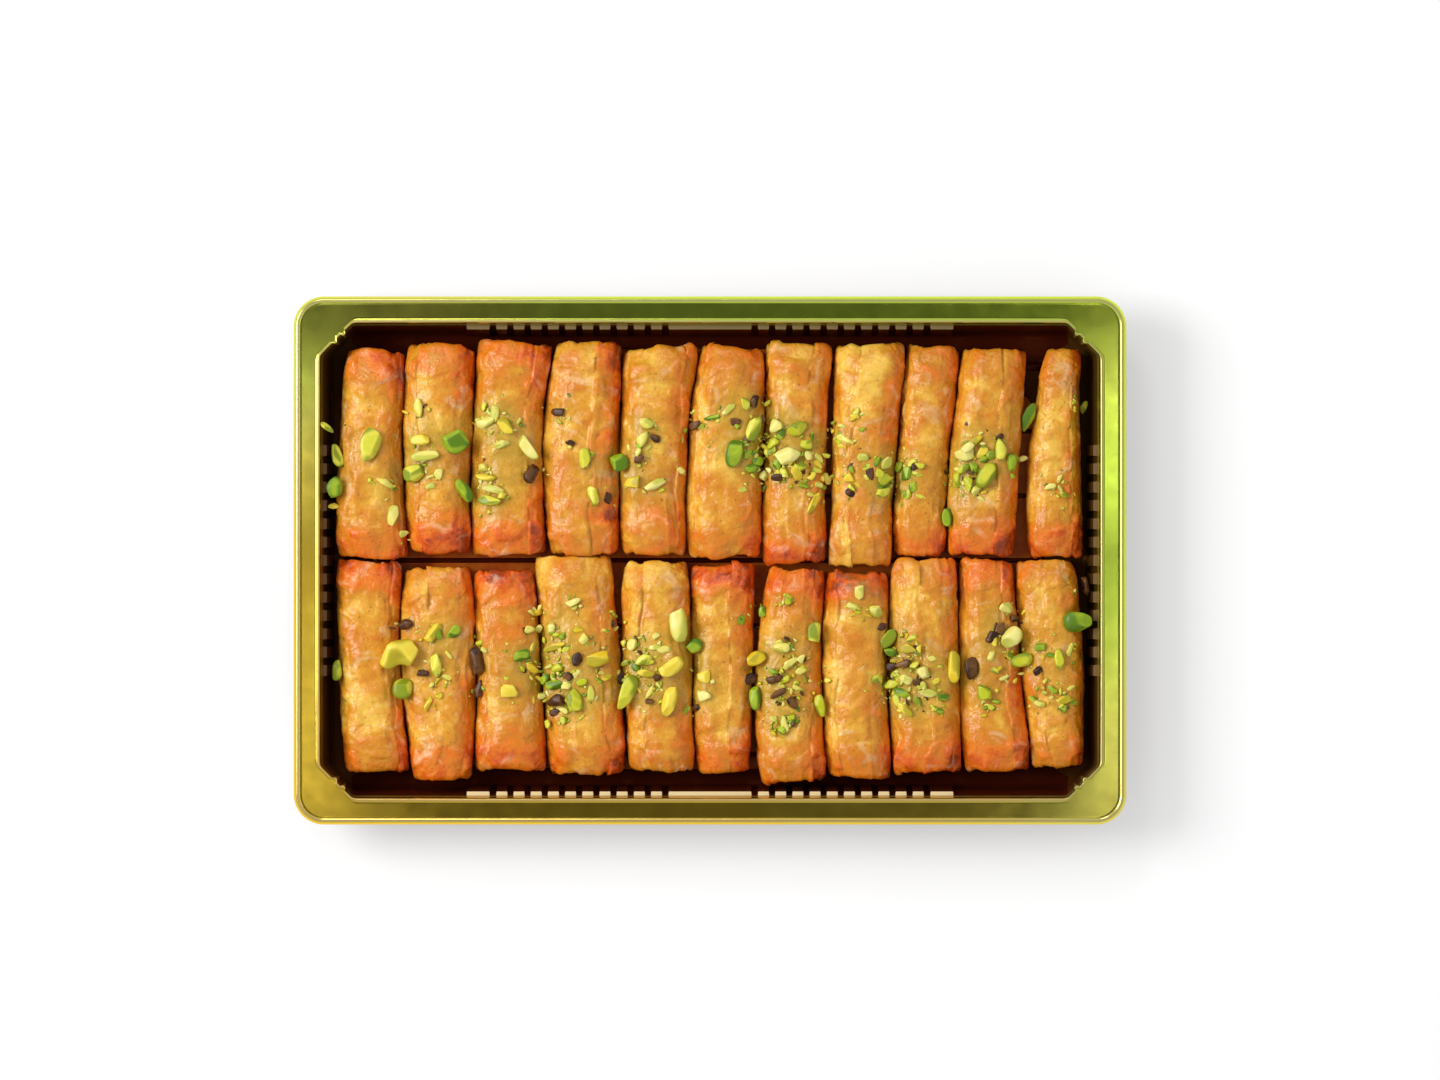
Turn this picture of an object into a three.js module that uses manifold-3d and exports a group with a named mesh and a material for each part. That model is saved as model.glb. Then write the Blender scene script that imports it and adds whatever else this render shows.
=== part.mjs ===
// A tray of cheese fingers: a thin gold and black plastic pastry tray that holds two rows of rolled
// filo fingers, with chopped pistachios strewn across the middle of each row.
// Units are millimetres, +Z is up, +X runs along the tray and +Y points to the far row.
// The origin is on the table, under the middle of the tray.

import * as THREE from 'three';
import { mergeVertices } from 'three/addons/utils/BufferGeometryUtils.js';
import Module from 'manifold-3d';

const wasm = await Module();
wasm.setup();

// Tray

const TRAY_LENGTH = 218;
const TRAY_WIDTH = 138.3;
const OUTER_CORNER_RADIUS = 8;
const CHAMFER_LEG = 8.7;
const CHAMFER_INSET = 6.9;
const CHAMFER_LEG_LOSS = 1.1;
const FLOOR_TOP = 1.0;

// The tray's section as pairs of inset from the outer edge and height. The upper side runs from the
// foot of the turned-down edge over the flange and the bead and down the wall to the floor, and the
// under side runs back from the base.
const WALL_TOP = [7.1, 18.9];
const WALL_FOOT = [9.4, 2.6];
const UPPER_SECTION = [
  [0.0, 15.0], [0.1, 18.3], [0.6, 19.2], [1.2, 19.5], [1.8, 19.2], [6.1, 19.2],
  [6.35, 19.7], [6.8, 19.7], WALL_TOP, WALL_FOOT, [10.2, 1.4], [11.6, FLOOR_TOP],
];
const UNDER_SECTION = [
  [11.9, 0.0], [10.2, 0.2], [8.8, 1.8], [6.5, 18.3], [1.6, 18.6], [0.9, 18.0], [0.8, 15.0],
];
const LAST_ROUND_INSET = 1.8;

// Two small lugs stand out from each chamfer, so that stacked trays come apart.
const CORNER_STEPS = [-0.2, 0.1, 0.38, 0.45, 0.52, 0.62, 0.69, 0.76, 0.94, 1.2];
const LUG_STEPS = [3, 6];
const LUG_DEPTH = 0.8;
const LUG_FOOT = 14;

// Upright ribs stiffen the walls. Their tops make a dashed ledge below the rim.
const RIB_TOP = 15.0;
const RIB_FOOT = 3.4;
const RIB_PROUD = 1.0;
const RIB_ROOT = 0.35;
const RIB_WIDTH = 2.9;
const LONG_RIB_PITCH = 4.5;
const LONG_RIB_START = 14.0;
const LONG_RIBS_EACH_WAY = 10;
const MIDDLE_RIB_WIDTH = 21.7;
const END_RIB_WIDTH = 6.0;
const END_RIB_PLACE = 60.7;
const SHORT_RIB_PITCH = 4.8;
const SHORT_RIBS = 13;

// Low ridges on the floor run along the tray.
const RIDGE_HEIGHT = 0.5;
const RIDGE_WIDTH = 2.4;
const RIDGE_TOP_WIDTH = 1.0;
const RIDGE_LENGTH = 176;
const RIDGE_PITCH = 17;
const RIDGES = 7;

// Fingers

const GAP = 0.3;
const FINGER_FLOOR = FLOOR_TOP + RIDGE_HEIGHT + GAP;
const HEIGHT_TO_WIDTH = 0.9;
const LEAST_HEIGHT = 13.6;
const MOST_HEIGHT = 15.8;
const UPPER_SHARE = 0.56;
const TOP_ROUNDNESS = 0.74;
const BASE_ROUNDNESS = 0.7;
const SEAM_STEP = 0.04;
const SEAM_LEAST = 0.3;
const SEAM_TURN = 0.06;
const FLAP_LENGTH = 7.5;
const FLAP_STEP = 0.2;
const FLAP_SLOPE = 0.6;
const END_ROUND = 1.4;
const END_SCALE = 0.86;
const END_DIMPLE = 0.7;
const END_SINK = 0.84;
const END_TAPER = 0.5;
const SECTION_SIDES = 12;
const MIDDLE_SHARES = [0.37, 0.63];

// Waves that make the sides and the top of a finger uneven: how many radians they run along it, how
// high they are and by how many radians a degree of the seam's angle shifts them.
const WAVES = [
  { run: 7.3, height: 0.14, shift: 0.05 },
  { run: 15.1, height: 0.084, shift: 0.115 },
];

// The fingers of a row lie against each other. A row's far and near line in y are where the first and
// the last of each finger's edge places are given.
const FAR_ROW_LINES = [55.5, 1.5];
const NEAR_ROW_LINES = [-1.5, -55.5];

// Each finger: its left and right edge in x at its row's far line, middle and near line, its two ends
// in y, how far each end slants, and the angle of the wrap's outer edge from +X in degrees.
const FAR_ROW = [
  { left: [-95.4, -97.5, -98.0], right: [-79.5, -80.5, -78.9],
    y: [54.8, 1.2], slant: [-1.3, -0.4], seam: 38 },
  { left: [-79.5, -80.5, -78.9], right: [-61.2, -62.5, -62.7],
    y: [55.8, 2.5], slant: [-1.5, -0.8], seam: 118 },
  { left: [-61.2, -62.5, -62.7], right: [-41.0, -43.9, -42.3],
    y: [57.1, 1.9], slant: [-1.8, 0.4], seam: 64 },
  { left: [-41.0, -43.9, -42.3], right: [-22.7, -23.8, -23.3],
    y: [56.9, 1.9], slant: [-0.4, 0.5], seam: 84 },
  { left: [-22.7, -23.8, -23.3], right: [-2.6, -6.0, -6.0],
    y: [55.5, 2.0], slant: [0.9, -0.5], seam: 52 },
  { left: [-2.6, -6.0, -6.0], right: [14.4, 14.1, 13.3],
    y: [55.5, 1.3], slant: [-1.0, 0.3], seam: 132 },
  { left: [14.4, 14.1, 13.3], right: [32.4, 30.4, 30.8],
    y: [56.6, -0.2], slant: [-0.6, 0.6], seam: 70 },
  { left: [32.4, 32.0, 30.8], right: [51.5, 48.9, 47.8],
    y: [56.3, -1.2], slant: [0.4, 0.7], seam: 104 },
  { left: [51.5, 48.9, 47.8], right: [65.9, 63.0, 61.7],
    y: [55.8, 2.2], slant: [-1.1, 0.2], seam: 140 },
  { left: [65.9, 63.0, 61.7], right: [83.6, 81.3, 80.0],
    y: [55.0, 1.9], slant: [-0.3, -0.6], seam: 76 },
  { left: [88.1, 83.6, 83.4], right: [97.4, 97.2, 98.0],
    y: [55.0, 1.2], slant: [0.2, 0.6], seam: 58 },
];
const NEAR_ROW = [
  { left: [-98.0, -97.5, -95.7], right: [-80.5, -81.0, -78.4],
    y: [-0.3, -55.2], slant: [-1.2, -0.3], seam: 46 },
  { left: [-80.5, -81.0, -78.4], right: [-62.5, -61.4, -62.0],
    y: [-2.2, -57.2], slant: [0.8, 0.4], seam: 96 },
  { left: [-62.5, -61.4, -62.0], right: [-46.0, -44.2, -42.6],
    y: [-3.0, -54.8], slant: [0.6, -0.3], seam: 128 },
  { left: [-46.0, -44.2, -42.6], right: [-25.6, -23.3, -22.0],
    y: [0.8, -55.6], slant: [0.3, 0.5], seam: 62 },
  { left: [-23.0, -23.0, -21.2], right: [-5.5, -4.7, -3.9],
    y: [-0.8, -54.8], slant: [0.5, -0.4], seam: 110 },
  { left: [-5.5, -4.7, -3.9], right: [12.3, 11.0, 11.0],
    y: [-1.4, -55.3], slant: [1.0, 0.3], seam: 80 },
  { left: [15.4, 11.8, 12.8], right: [30.6, 29.3, 30.6],
    y: [-2.7, -57.6], slant: [-0.5, 1.3], seam: 54 },
  { left: [30.6, 29.3, 30.6], right: [47.1, 46.8, 47.6],
    y: [-3.3, -56.7], slant: [-0.9, -0.4], seam: 122 },
  { left: [47.1, 46.8, 47.6], right: [65.1, 65.3, 66.4],
    y: [-0.3, -55.4], slant: [0.4, 0.6], seam: 90 },
  { left: [65.1, 65.3, 66.4], right: [79.7, 81.6, 84.4],
    y: [-0.1, -54.8], slant: [-0.7, 0.4], seam: 66 },
  { left: [79.7, 81.6, 84.4], right: [95.9, 98.0, 98.0],
    y: [-0.2, -53.7], slant: [0.5, 0.9], seam: 100 },
];

// Pistachios

// The largest pieces lie loose, some of them in the valley between two fingers: place, length, width
// and the direction of the long side in degrees from +X. The first is split halfway and shows its cleft.
const LARGE_NUTS = [
  { x: -81.0, y: -24.7, length: 11.0, width: 8.1, turn: 4, cleft: 0.45 },
  { x: -80.4, y: -33.4, length: 5.8, width: 5.2, turn: 80 },
  { x: 96.2, y: -15.9, length: 7.6, width: 5.6, turn: 5 },
  { x: -66.4, y: 31.5, length: 7.3, width: 7.0, turn: 35 },
  { x: -88.9, y: 30.5, length: 9.6, width: 5.6, turn: 68 },
  { x: -23.8, y: 25.5, length: 5.4, width: 4.8, turn: 10 },
  { x: 6.4, y: 28.2, length: 8.0, width: 4.4, turn: 75 },
  { x: 11.4, y: 34.8, length: 7.2, width: 3.8, turn: 75 },
  { x: -21.9, y: -34.5, length: 9.8, width: 4.4, turn: 65 },
  { x: -8.2, y: -16.9, length: 9.0, width: 4.8, turn: 97 },
  { x: -10.2, y: -27.8, length: 7.4, width: 4.6, turn: 35 },
  { x: -10.6, y: -36.8, length: 8.2, width: 3.8, turn: 78 },
  { x: -29.2, y: -25.6, length: 6.4, width: 4.4, turn: 10 },
  { x: -47.6, y: 29.6, length: 7.8, width: 3.6, turn: -50 },
  { x: 63.8, y: -27.8, length: 8.6, width: 3.4, turn: 92 },
  { x: 79.0, y: -20.2, length: 6.4, width: 5.0, turn: 60 },
  { x: 72.2, y: 22.0, length: 7.8, width: 4.4, turn: 65 },
  { x: 83.4, y: 37.4, length: 8.2, width: 3.2, turn: 65 },
  { x: 20.2, y: 27.4, length: 7.2, width: 4.4, turn: 15 },
  { x: -77.6, y: 22.8, length: 5.6, width: 4.6, turn: 10 },
  { x: -97.8, y: 27.5, length: 6.4, width: 3.0, turn: 112 },
  { x: -98.2, y: 19.0, length: 5.8, width: 4.6, turn: 60 },
  { x: -4.4, y: -22.4, length: 5.0, width: 3.8, turn: 20 },
  { x: 12.0, y: -25.7, length: 5.6, width: 4.0, turn: 10 },
  { x: 28.8, y: -37.8, length: 6.4, width: 2.9, turn: 100 },
  { x: 46.6, y: -20.6, length: 5.8, width: 3.4, turn: 50 },
  { x: 81.8, y: -26.1, length: 6.6, width: 3.6, turn: 12 },
  { x: -97.6, y: -28.6, length: 5.8, width: 2.8, turn: 80 },
  { x: -61.1, y: -26.5, length: 7.8, width: 3.8, turn: 95 },
  { x: -64.5, y: 18.3, length: 6.8, width: 3.6, turn: -55 },
  { x: -82.9, y: 11.6, length: 5.8, width: 3.0, turn: 82 },
  { x: 61.9, y: 11.6, length: 5.4, width: 2.8, turn: 95 },
  { x: 11.8, y: -35.8, length: 7.0, width: 3.2, turn: 95 },
  { x: 68.4, y: -28.0, length: 6.4, width: 3.6, turn: 95 },
  { x: 27.4, y: -19.0, length: 6.0, width: 3.8, turn: 85 },
];
const LARGE_THICKNESS = 0.62;
const REST_GAP = 0.6;
const LARGE_SIDES = 8;
const LARGE_RINGS = 4;
const CLEFT_REACH = 0.32;
const CLEFT_BACK_SHARE = 0.15;

// Smaller pieces, each fused to the finger that it lies on. One that lies over a valley is moved on to
// the nearer finger.
const CHIPS = [
  { x: -75.8, y: 31.4, length: 5.2, width: 3.2, turn: 5 },
  { x: -74.4, y: 27.6, length: 8.0, width: 3.0, turn: 12 },
  { x: -85.0, y: 20.4, length: 5.0, width: 2.1, turn: -30 },
  { x: -76.4, y: 39.8, length: 5.4, width: 2.6, turn: 85 },
  { x: -59.6, y: 36.2, length: 5.6, width: 2.8, turn: 25 },
  { x: -56.3, y: 38.9, length: 5.6, width: 2.4, turn: 85 },
  { x: -53.4, y: 35.2, length: 5.4, width: 3.4, turn: -50 },
  { x: -54.3, y: 30.4, length: 4.6, width: 2.6, turn: 20 },
  { x: -46.4, y: 22.8, length: 5.6, width: 3.6, turn: 60 },
  { x: -58.6, y: 21.6, length: 6.2, width: 2.0, turn: -12 },
  { x: -57.2, y: 18.8, length: 7.0, width: 2.4, turn: -8 },
  { x: -57.6, y: 15.6, length: 7.0, width: 2.8, turn: -12 },
  { x: -39.7, y: 38.8, length: 4.2, width: 2.4, turn: -10 },
  { x: -32.7, y: 26.4, length: 6.0, width: 3.0, turn: -80 },
  { x: -20.4, y: 20.4, length: 5.0, width: 3.2, turn: 5 },
  { x: -30.3, y: 17.0, length: 5.8, width: 3.2, turn: -75 },
  { x: -17.0, y: 36.2, length: 4.8, width: 3.2, turn: -20 },
  { x: -18.0, y: 31.8, length: 5.2, width: 3.2, turn: 60 },
  { x: -14.6, y: 19.7, length: 6.4, width: 2.4, turn: 30 },
  { x: 4.6, y: 39.6, length: 4.8, width: 2.0, turn: 40 },
  { x: 9.2, y: 40.8, length: 4.0, width: 2.6, turn: -40 },
  { x: 16.9, y: 35.2, length: 4.6, width: 3.8, turn: 0 },
  { x: 22.9, y: 34.3, length: 5.4, width: 3.8, turn: 20 },
  { x: 14.6, y: 30.6, length: 4.4, width: 2.8, turn: 30 },
  { x: 25.4, y: 30.4, length: 3.8, width: 2.8, turn: 0 },
  { x: 22.6, y: 22.8, length: 4.4, width: 2.8, turn: -50 },
  { x: 11.0, y: 24.0, length: 3.8, width: 2.6, turn: 20 },
  { x: 32.6, y: 31.6, length: 5.8, width: 2.0, turn: -25 },
  { x: 41.8, y: 23.0, length: 4.2, width: 2.2, turn: 95 },
  { x: 27.4, y: 15.2, length: 6.8, width: 2.2, turn: 60 },
  { x: 46.2, y: 25.6, length: 4.2, width: 3.0, turn: 40 },
  { x: 47.6, y: 21.4, length: 4.4, width: 3.0, turn: 30 },
  { x: 46.0, y: 17.8, length: 4.8, width: 2.8, turn: 10 },
  { x: 51.6, y: 22.6, length: 4.4, width: 3.0, turn: 80 },
  { x: 65.6, y: 28.0, length: 5.8, width: 4.2, turn: 5 },
  { x: 69.8, y: 31.4, length: 5.4, width: 2.0, turn: 30 },
  { x: 76.2, y: 29.2, length: 5.8, width: 3.2, turn: 85 },
  { x: 79.1, y: 25.4, length: 5.2, width: 3.0, turn: 95 },
  { x: 64.6, y: 21.4, length: 4.8, width: 2.5, turn: 80 },
  { x: 67.6, y: 20.0, length: 4.4, width: 2.6, turn: 100 },
  { x: -72.6, y: -19.2, length: 6.6, width: 2.8, turn: 50 },
  { x: -66.9, y: -18.4, length: 4.8, width: 3.0, turn: 35 },
  { x: -71.6, y: -27.4, length: 6.4, width: 3.2, turn: 105 },
  { x: -49.4, y: -24.7, length: 4.6, width: 3.2, turn: 20 },
  { x: -52.9, y: -33.9, length: 5.4, width: 4.0, turn: 5 },
  { x: -41.2, y: -22.6, length: 6.6, width: 1.8, turn: 20 },
  { x: -41.6, y: -18.0, length: 3.8, width: 2.8, turn: 80 },
  { x: -39.6, y: -27.8, length: 4.4, width: 2.6, turn: 20 },
  { x: -46.8, y: -28.2, length: 4.2, width: 2.0, turn: -30 },
  { x: -40.6, y: -32.4, length: 5.8, width: 2.8, turn: 5 },
  { x: -41.0, y: -36.8, length: 5.6, width: 3.8, turn: 0 },
  { x: -35.6, y: -37.0, length: 7.0, width: 4.4, turn: 100 },
  { x: -31.0, y: -35.2, length: 5.0, width: 2.3, turn: 95 },
  { x: -35.8, y: -11.0, length: 4.4, width: 2.2, turn: 30 },
  { x: -34.8, y: -25.4, length: 4.6, width: 3.2, turn: 80 },
  { x: -20.4, y: -22.4, length: 4.2, width: 3.4, turn: 60 },
  { x: -17.4, y: -25.8, length: 5.2, width: 2.8, turn: 10 },
  { x: -16.8, y: -29.4, length: 4.8, width: 2.2, turn: -5 },
  { x: -15.4, y: -34.2, length: 4.8, width: 1.6, turn: 60 },
  { x: -2.2, y: -35.6, length: 4.4, width: 3.2, turn: 5 },
  { x: -1.6, y: -30.4, length: 4.0, width: 3.6, turn: 0 },
  { x: 18.8, y: -22.8, length: 4.4, width: 2.8, turn: 0 },
  { x: 21.2, y: -26.6, length: 4.8, width: 2.2, turn: 40 },
  { x: 16.8, y: -31.0, length: 4.6, width: 2.4, turn: 5 },
  { x: 17.8, y: -34.6, length: 5.0, width: 1.8, turn: 25 },
  { x: 19.4, y: -42.6, length: 4.8, width: 2.0, turn: 105 },
  { x: 39.2, y: -8.2, length: 4.2, width: 3.2, turn: 75 },
  { x: 43.4, y: -13.2, length: 3.8, width: 3.6, turn: 0 },
  { x: 51.8, y: -23.2, length: 4.8, width: 2.6, turn: -10 },
  { x: 50.2, y: -27.2, length: 5.0, width: 2.6, turn: 5 },
  { x: 51.2, y: -31.0, length: 3.8, width: 3.0, turn: 0 },
  { x: 50.4, y: -34.8, length: 5.8, width: 2.6, turn: -15 },
  { x: 50.6, y: -38.6, length: 6.6, width: 2.0, turn: -40 },
  { x: 56.0, y: -29.2, length: 3.8, width: 3.6, turn: 0 },
  { x: 56.8, y: -34.8, length: 5.2, width: 2.6, turn: 0 },
  { x: 71.9, y: -34.6, length: 4.8, width: 3.6, turn: 100 },
  { x: 73.6, y: -19.8, length: 4.0, width: 2.6, turn: 60 },
  { x: 77.4, y: -12.4, length: 3.8, width: 3.0, turn: 0 },
  { x: 91.6, y: -26.2, length: 6.4, width: 3.0, turn: 105 },
  { x: 92.6, y: -36.8, length: 4.6, width: 2.8, turn: 10 },
];
const CHIP_THICKNESS = 0.55;
const CHIP_SUNK_SHARE = 0.2;
const CHIP_SINK_STEP = 0.08;
const CHIP_TILT_SHARE = 0.8;
const NUT_ROUGHNESS = 0.16;
const SHAPE_SEED = 977;

const MATERIALS = {
  tray: new THREE.MeshStandardMaterial({ color: 0xb9a037, roughness: 0.22, metalness: 0.85 }),
  pastry: new THREE.MeshStandardMaterial({ color: 0xdb9346, roughness: 0.45, metalness: 0 }),
  nut: new THREE.MeshStandardMaterial({ color: 0xb4c02c, roughness: 0.5, metalness: 0 }),
};

// Returns a function that gives the next number of a repeatable series between 0 and 1.
function makeDraw(seed) {
  const modulus = 2147483647;
  const multiplier = 16807;
  let state = seed;
  return () => {
    state = (state * multiplier) % modulus;
    return state / modulus;
  };
}

// Mixes two numbers by a share from 0 to 1.
function mix(low, high, share) {
  return low + (high - low) * share;
}

// Gives the parabola through three values at 0, one half and 1.
function through([start, middle, end], share) {
  return start * (2 * share - 1) * (share - 1)
    + middle * 4 * share * (1 - share)
    + end * share * (2 * share - 1);
}

// Raises the size of a number to a power and keeps its sign.
function signedPower(value, power) {
  return Math.sign(value) * Math.abs(value) ** power;
}

// Joins rings of equal numbers of points into one closed skin with a fan at either end.
function skinOfRings(rings, firstCentre, lastCentre) {
  const sides = rings[0].length;
  const points = rings.flat();
  const faces = [];
  for (let ring = 0; ring < rings.length - 1; ring += 1) {
    for (let side = 0; side < sides; side += 1) {
      const next = (side + 1) % sides;
      const a = ring * sides + side;
      const b = ring * sides + next;
      const c = a + sides;
      const d = b + sides;
      faces.push([a, b, d], [a, d, c]);
    }
  }
  const firstIndex = points.length;
  const lastIndex = firstIndex + 1;
  const lastRing = (rings.length - 1) * sides;
  points.push(firstCentre, lastCentre);
  for (let side = 0; side < sides; side += 1) {
    const next = (side + 1) % sides;
    faces.push([firstIndex, next, side], [lastIndex, lastRing + side, lastRing + next]);
  }
  return { points, faces };
}

// Turns points and faces into a solid.
function solidOf({ points, faces }) {
  return new wasm.Manifold(new wasm.Mesh({
    numProp: 3,
    vertProperties: new Float32Array(points.flat()),
    triVerts: new Uint32Array(faces.flat()),
  }));
}

// Turns a three.js geometry into a list of points and a list of faces with shared corners.
function weld(geometry) {
  geometry.deleteAttribute('normal');
  geometry.deleteAttribute('uv');
  const merged = mergeVertices(geometry);
  const position = merged.attributes.position;
  const points = [];
  for (let i = 0; i < position.count; i += 1) {
    points.push([position.getX(i), position.getY(i), position.getZ(i)]);
  }
  const faces = [];
  for (let i = 0; i < merged.index.count; i += 3) {
    faces.push([merged.index.getX(i), merged.index.getX(i + 1), merged.index.getX(i + 2)]);
  }
  return { points, faces };
}

// Turns a solid into a three.js geometry.
function geometryOf(solid) {
  const mesh = solid.getMesh();
  const geometry = new THREE.BufferGeometry();
  const corners = [];
  for (let i = 0; i < mesh.vertProperties.length; i += mesh.numProp) {
    corners.push(mesh.vertProperties[i], mesh.vertProperties[i + 1], mesh.vertProperties[i + 2]);
  }
  geometry.setAttribute('position', new THREE.Float32BufferAttribute(corners, 3));
  geometry.setIndex(Array.from(mesh.triVerts));
  geometry.computeVertexNormals();
  return geometry;
}

// Gives one corner of a tray outline in the quadrant of +X and +Y, from the short side to the long.
function cornerPoints(inset, height) {
  const x = TRAY_LENGTH / 2 - inset;
  const y = TRAY_WIDTH / 2 - inset;
  if (inset <= LAST_ROUND_INSET) {
    const radius = OUTER_CORNER_RADIUS - inset;
    return CORNER_STEPS.map((step, i) => {
      const angle = (i / (CORNER_STEPS.length - 1)) * (Math.PI / 2);
      return [x - radius * (1 - Math.cos(angle)), y - radius * (1 - Math.sin(angle)), height];
    });
  }
  const leg = CHAMFER_LEG - CHAMFER_LEG_LOSS * (inset - CHAMFER_INSET);
  const hasLugs = height > LUG_FOOT;
  return CORNER_STEPS.map((step, i) => {
    const push = hasLugs && LUG_STEPS.includes(i) ? LUG_DEPTH * Math.SQRT1_2 : 0;
    const across = Math.max(step, 0) * leg + push;
    const along = Math.max(1 - step, 0) * leg + push;
    return [x - across, y - along, height];
  });
}

// Gives a whole tray outline at one inset and height, anticlockwise seen from above.
function outline([inset, height]) {
  const corner = cornerPoints(inset, height);
  const back = [...corner].reverse();
  return [
    ...corner,
    ...back.map(([x, y, z]) => [-x, y, z]),
    ...corner.map(([x, y, z]) => [-x, -y, z]),
    ...back.map(([x, y, z]) => [x, -y, z]),
  ];
}

// The inset of the inner wall at a height.
function wallInset(height) {
  return mix(WALL_TOP[0], WALL_FOOT[0], (WALL_TOP[1] - height) / (WALL_TOP[1] - WALL_FOOT[1]));
}

// The height of the inner wall at an inset.
function wallHeight(inset) {
  return mix(WALL_TOP[1], WALL_FOOT[1], (inset - WALL_TOP[0]) / (WALL_FOOT[0] - WALL_TOP[0]));
}

// A rib on the wall of the long side at +Y: a bar that leans with the wall, its foot nearly flush.
function longRib(centre, width) {
  const half = width / 2;
  const footWall = TRAY_WIDTH / 2 - wallInset(RIB_FOOT);
  const topWall = TRAY_WIDTH / 2 - wallInset(RIB_TOP);
  const section = [
    [footWall + RIB_ROOT, RIB_FOOT], [topWall + RIB_ROOT, RIB_TOP],
    [topWall - RIB_PROUD, RIB_TOP], [footWall - RIB_PROUD, RIB_FOOT],
  ];
  return { section, from: centre - half, to: centre + half };
}

// Extrudes a four-sided section, given as horizontal place and height, along X or Y.
function bar({ section, from, to }, side, alongX) {
  const ring = (place) => section.map(([out, height]) => (
    alongX ? [place, side * out, height] : [side * out, place, height]));
  const start = ring(from);
  const end = ring(to);
  const points = [...start, ...end];
  const faces = [[0, 1, 2], [0, 2, 3], [6, 5, 4], [7, 6, 4]];
  for (let i = 0; i < 4; i += 1) {
    const next = (i + 1) % 4;
    faces.push([i, i + 4, next + 4], [i, next + 4, next]);
  }
  const turned = (side > 0) === alongX;
  return solidOf({ points, faces: turned ? faces.map(([a, b, c]) => [a, c, b]) : faces });
}

// All the ribs, on the two long walls and the two short ones.
function trayRibs() {
  const longPlaces = [[0, MIDDLE_RIB_WIDTH]];
  for (const side of [-1, 1]) {
    longPlaces.push([side * END_RIB_PLACE, END_RIB_WIDTH]);
    for (let i = 0; i < LONG_RIBS_EACH_WAY; i += 1) {
      longPlaces.push([side * (LONG_RIB_START + i * LONG_RIB_PITCH), RIB_WIDTH]);
    }
  }
  const reachDifference = (TRAY_LENGTH - TRAY_WIDTH) / 2;
  const ribs = [];
  for (const side of [-1, 1]) {
    for (const [centre, width] of longPlaces) {
      ribs.push(bar(longRib(centre, width), side, true));
    }
    for (let i = 0; i < SHORT_RIBS; i += 1) {
      const rib = longRib((i - (SHORT_RIBS - 1) / 2) * SHORT_RIB_PITCH, RIB_WIDTH);
      rib.section = rib.section.map(([out, height]) => [out + reachDifference, height]);
      ribs.push(bar(rib, side, false));
    }
  }
  return ribs;
}

// The low ridges on the floor, each a bar with a narrow top.
function floorRidges() {
  const ridges = [];
  for (let i = 0; i < RIDGES; i += 1) {
    const centre = (i - (RIDGES - 1) / 2) * RIDGE_PITCH;
    const base = FLOOR_TOP - RIDGE_HEIGHT;
    const section = [
      [centre + RIDGE_WIDTH / 2, base], [centre + RIDGE_TOP_WIDTH / 2, FLOOR_TOP + RIDGE_HEIGHT],
      [centre - RIDGE_TOP_WIDTH / 2, FLOOR_TOP + RIDGE_HEIGHT], [centre - RIDGE_WIDTH / 2, base],
    ];
    ridges.push(bar({ section, from: -RIDGE_LENGTH / 2, to: RIDGE_LENGTH / 2 }, 1, true));
  }
  return ridges;
}

// The tray: one skin from the middle of the base over the rim to the middle of the floor.
function buildTray() {
  const rings = [...UNDER_SECTION, ...UPPER_SECTION].map(outline);
  const shell = solidOf(skinOfRings(rings, [0, 0, 0], [0, 0, FLOOR_TOP]));
  return wasm.Manifold.union([shell, ...trayRibs(), ...floorRidges()]);
}

// How far along a row a place in y lies: 0 on its far line and 1 on its near line.
function rowShare(finger, y) {
  const [far, near] = FAR_ROW.includes(finger) ? FAR_ROW_LINES : NEAR_ROW_LINES;
  return (far - y) / (far - near);
}

// The place of a finger's axis and its half sizes at a share of its length from the far end.
function fingerFrame(finger, share) {
  const [far, near] = finger.y;
  const fromEnd = Math.min(share, 1 - share) * (far - near);
  const y = mix(far, near, share);
  const slant = mix(finger.slant[0], finger.slant[1], share);
  const left = through(finger.left, rowShare(finger, y - slant / 2));
  const right = through(finger.right, rowShare(finger, y + slant / 2));
  const meanWidth = finger.right[1] - finger.left[1];
  const height = THREE.MathUtils.clamp(meanWidth * HEIGHT_TO_WIDTH, LEAST_HEIGHT, MOST_HEIGHT);
  const wave = WAVES.reduce((sum, { run, height: peak, shift }) => (
    sum + peak * Math.sin(run * share + shift * finger.seam)), 0);
  const wavePeak = WAVES.reduce((sum, { height: peak }) => sum + peak, 0);
  const flap = fromEnd < FLAP_LENGTH ? FLAP_STEP : 0;
  const closing = Math.sin(Math.min(fromEnd / FLAP_LENGTH, 1) * Math.PI / 2);
  return {
    x: (left + right) / 2,
    y,
    half: (right - left) / 2 - GAP / 2 - wavePeak + wave - mix(END_TAPER, 0, closing),
    height: height * mix(END_SINK, 1, closing) + wave / 2 + flap,
    slant,
  };
}

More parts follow.
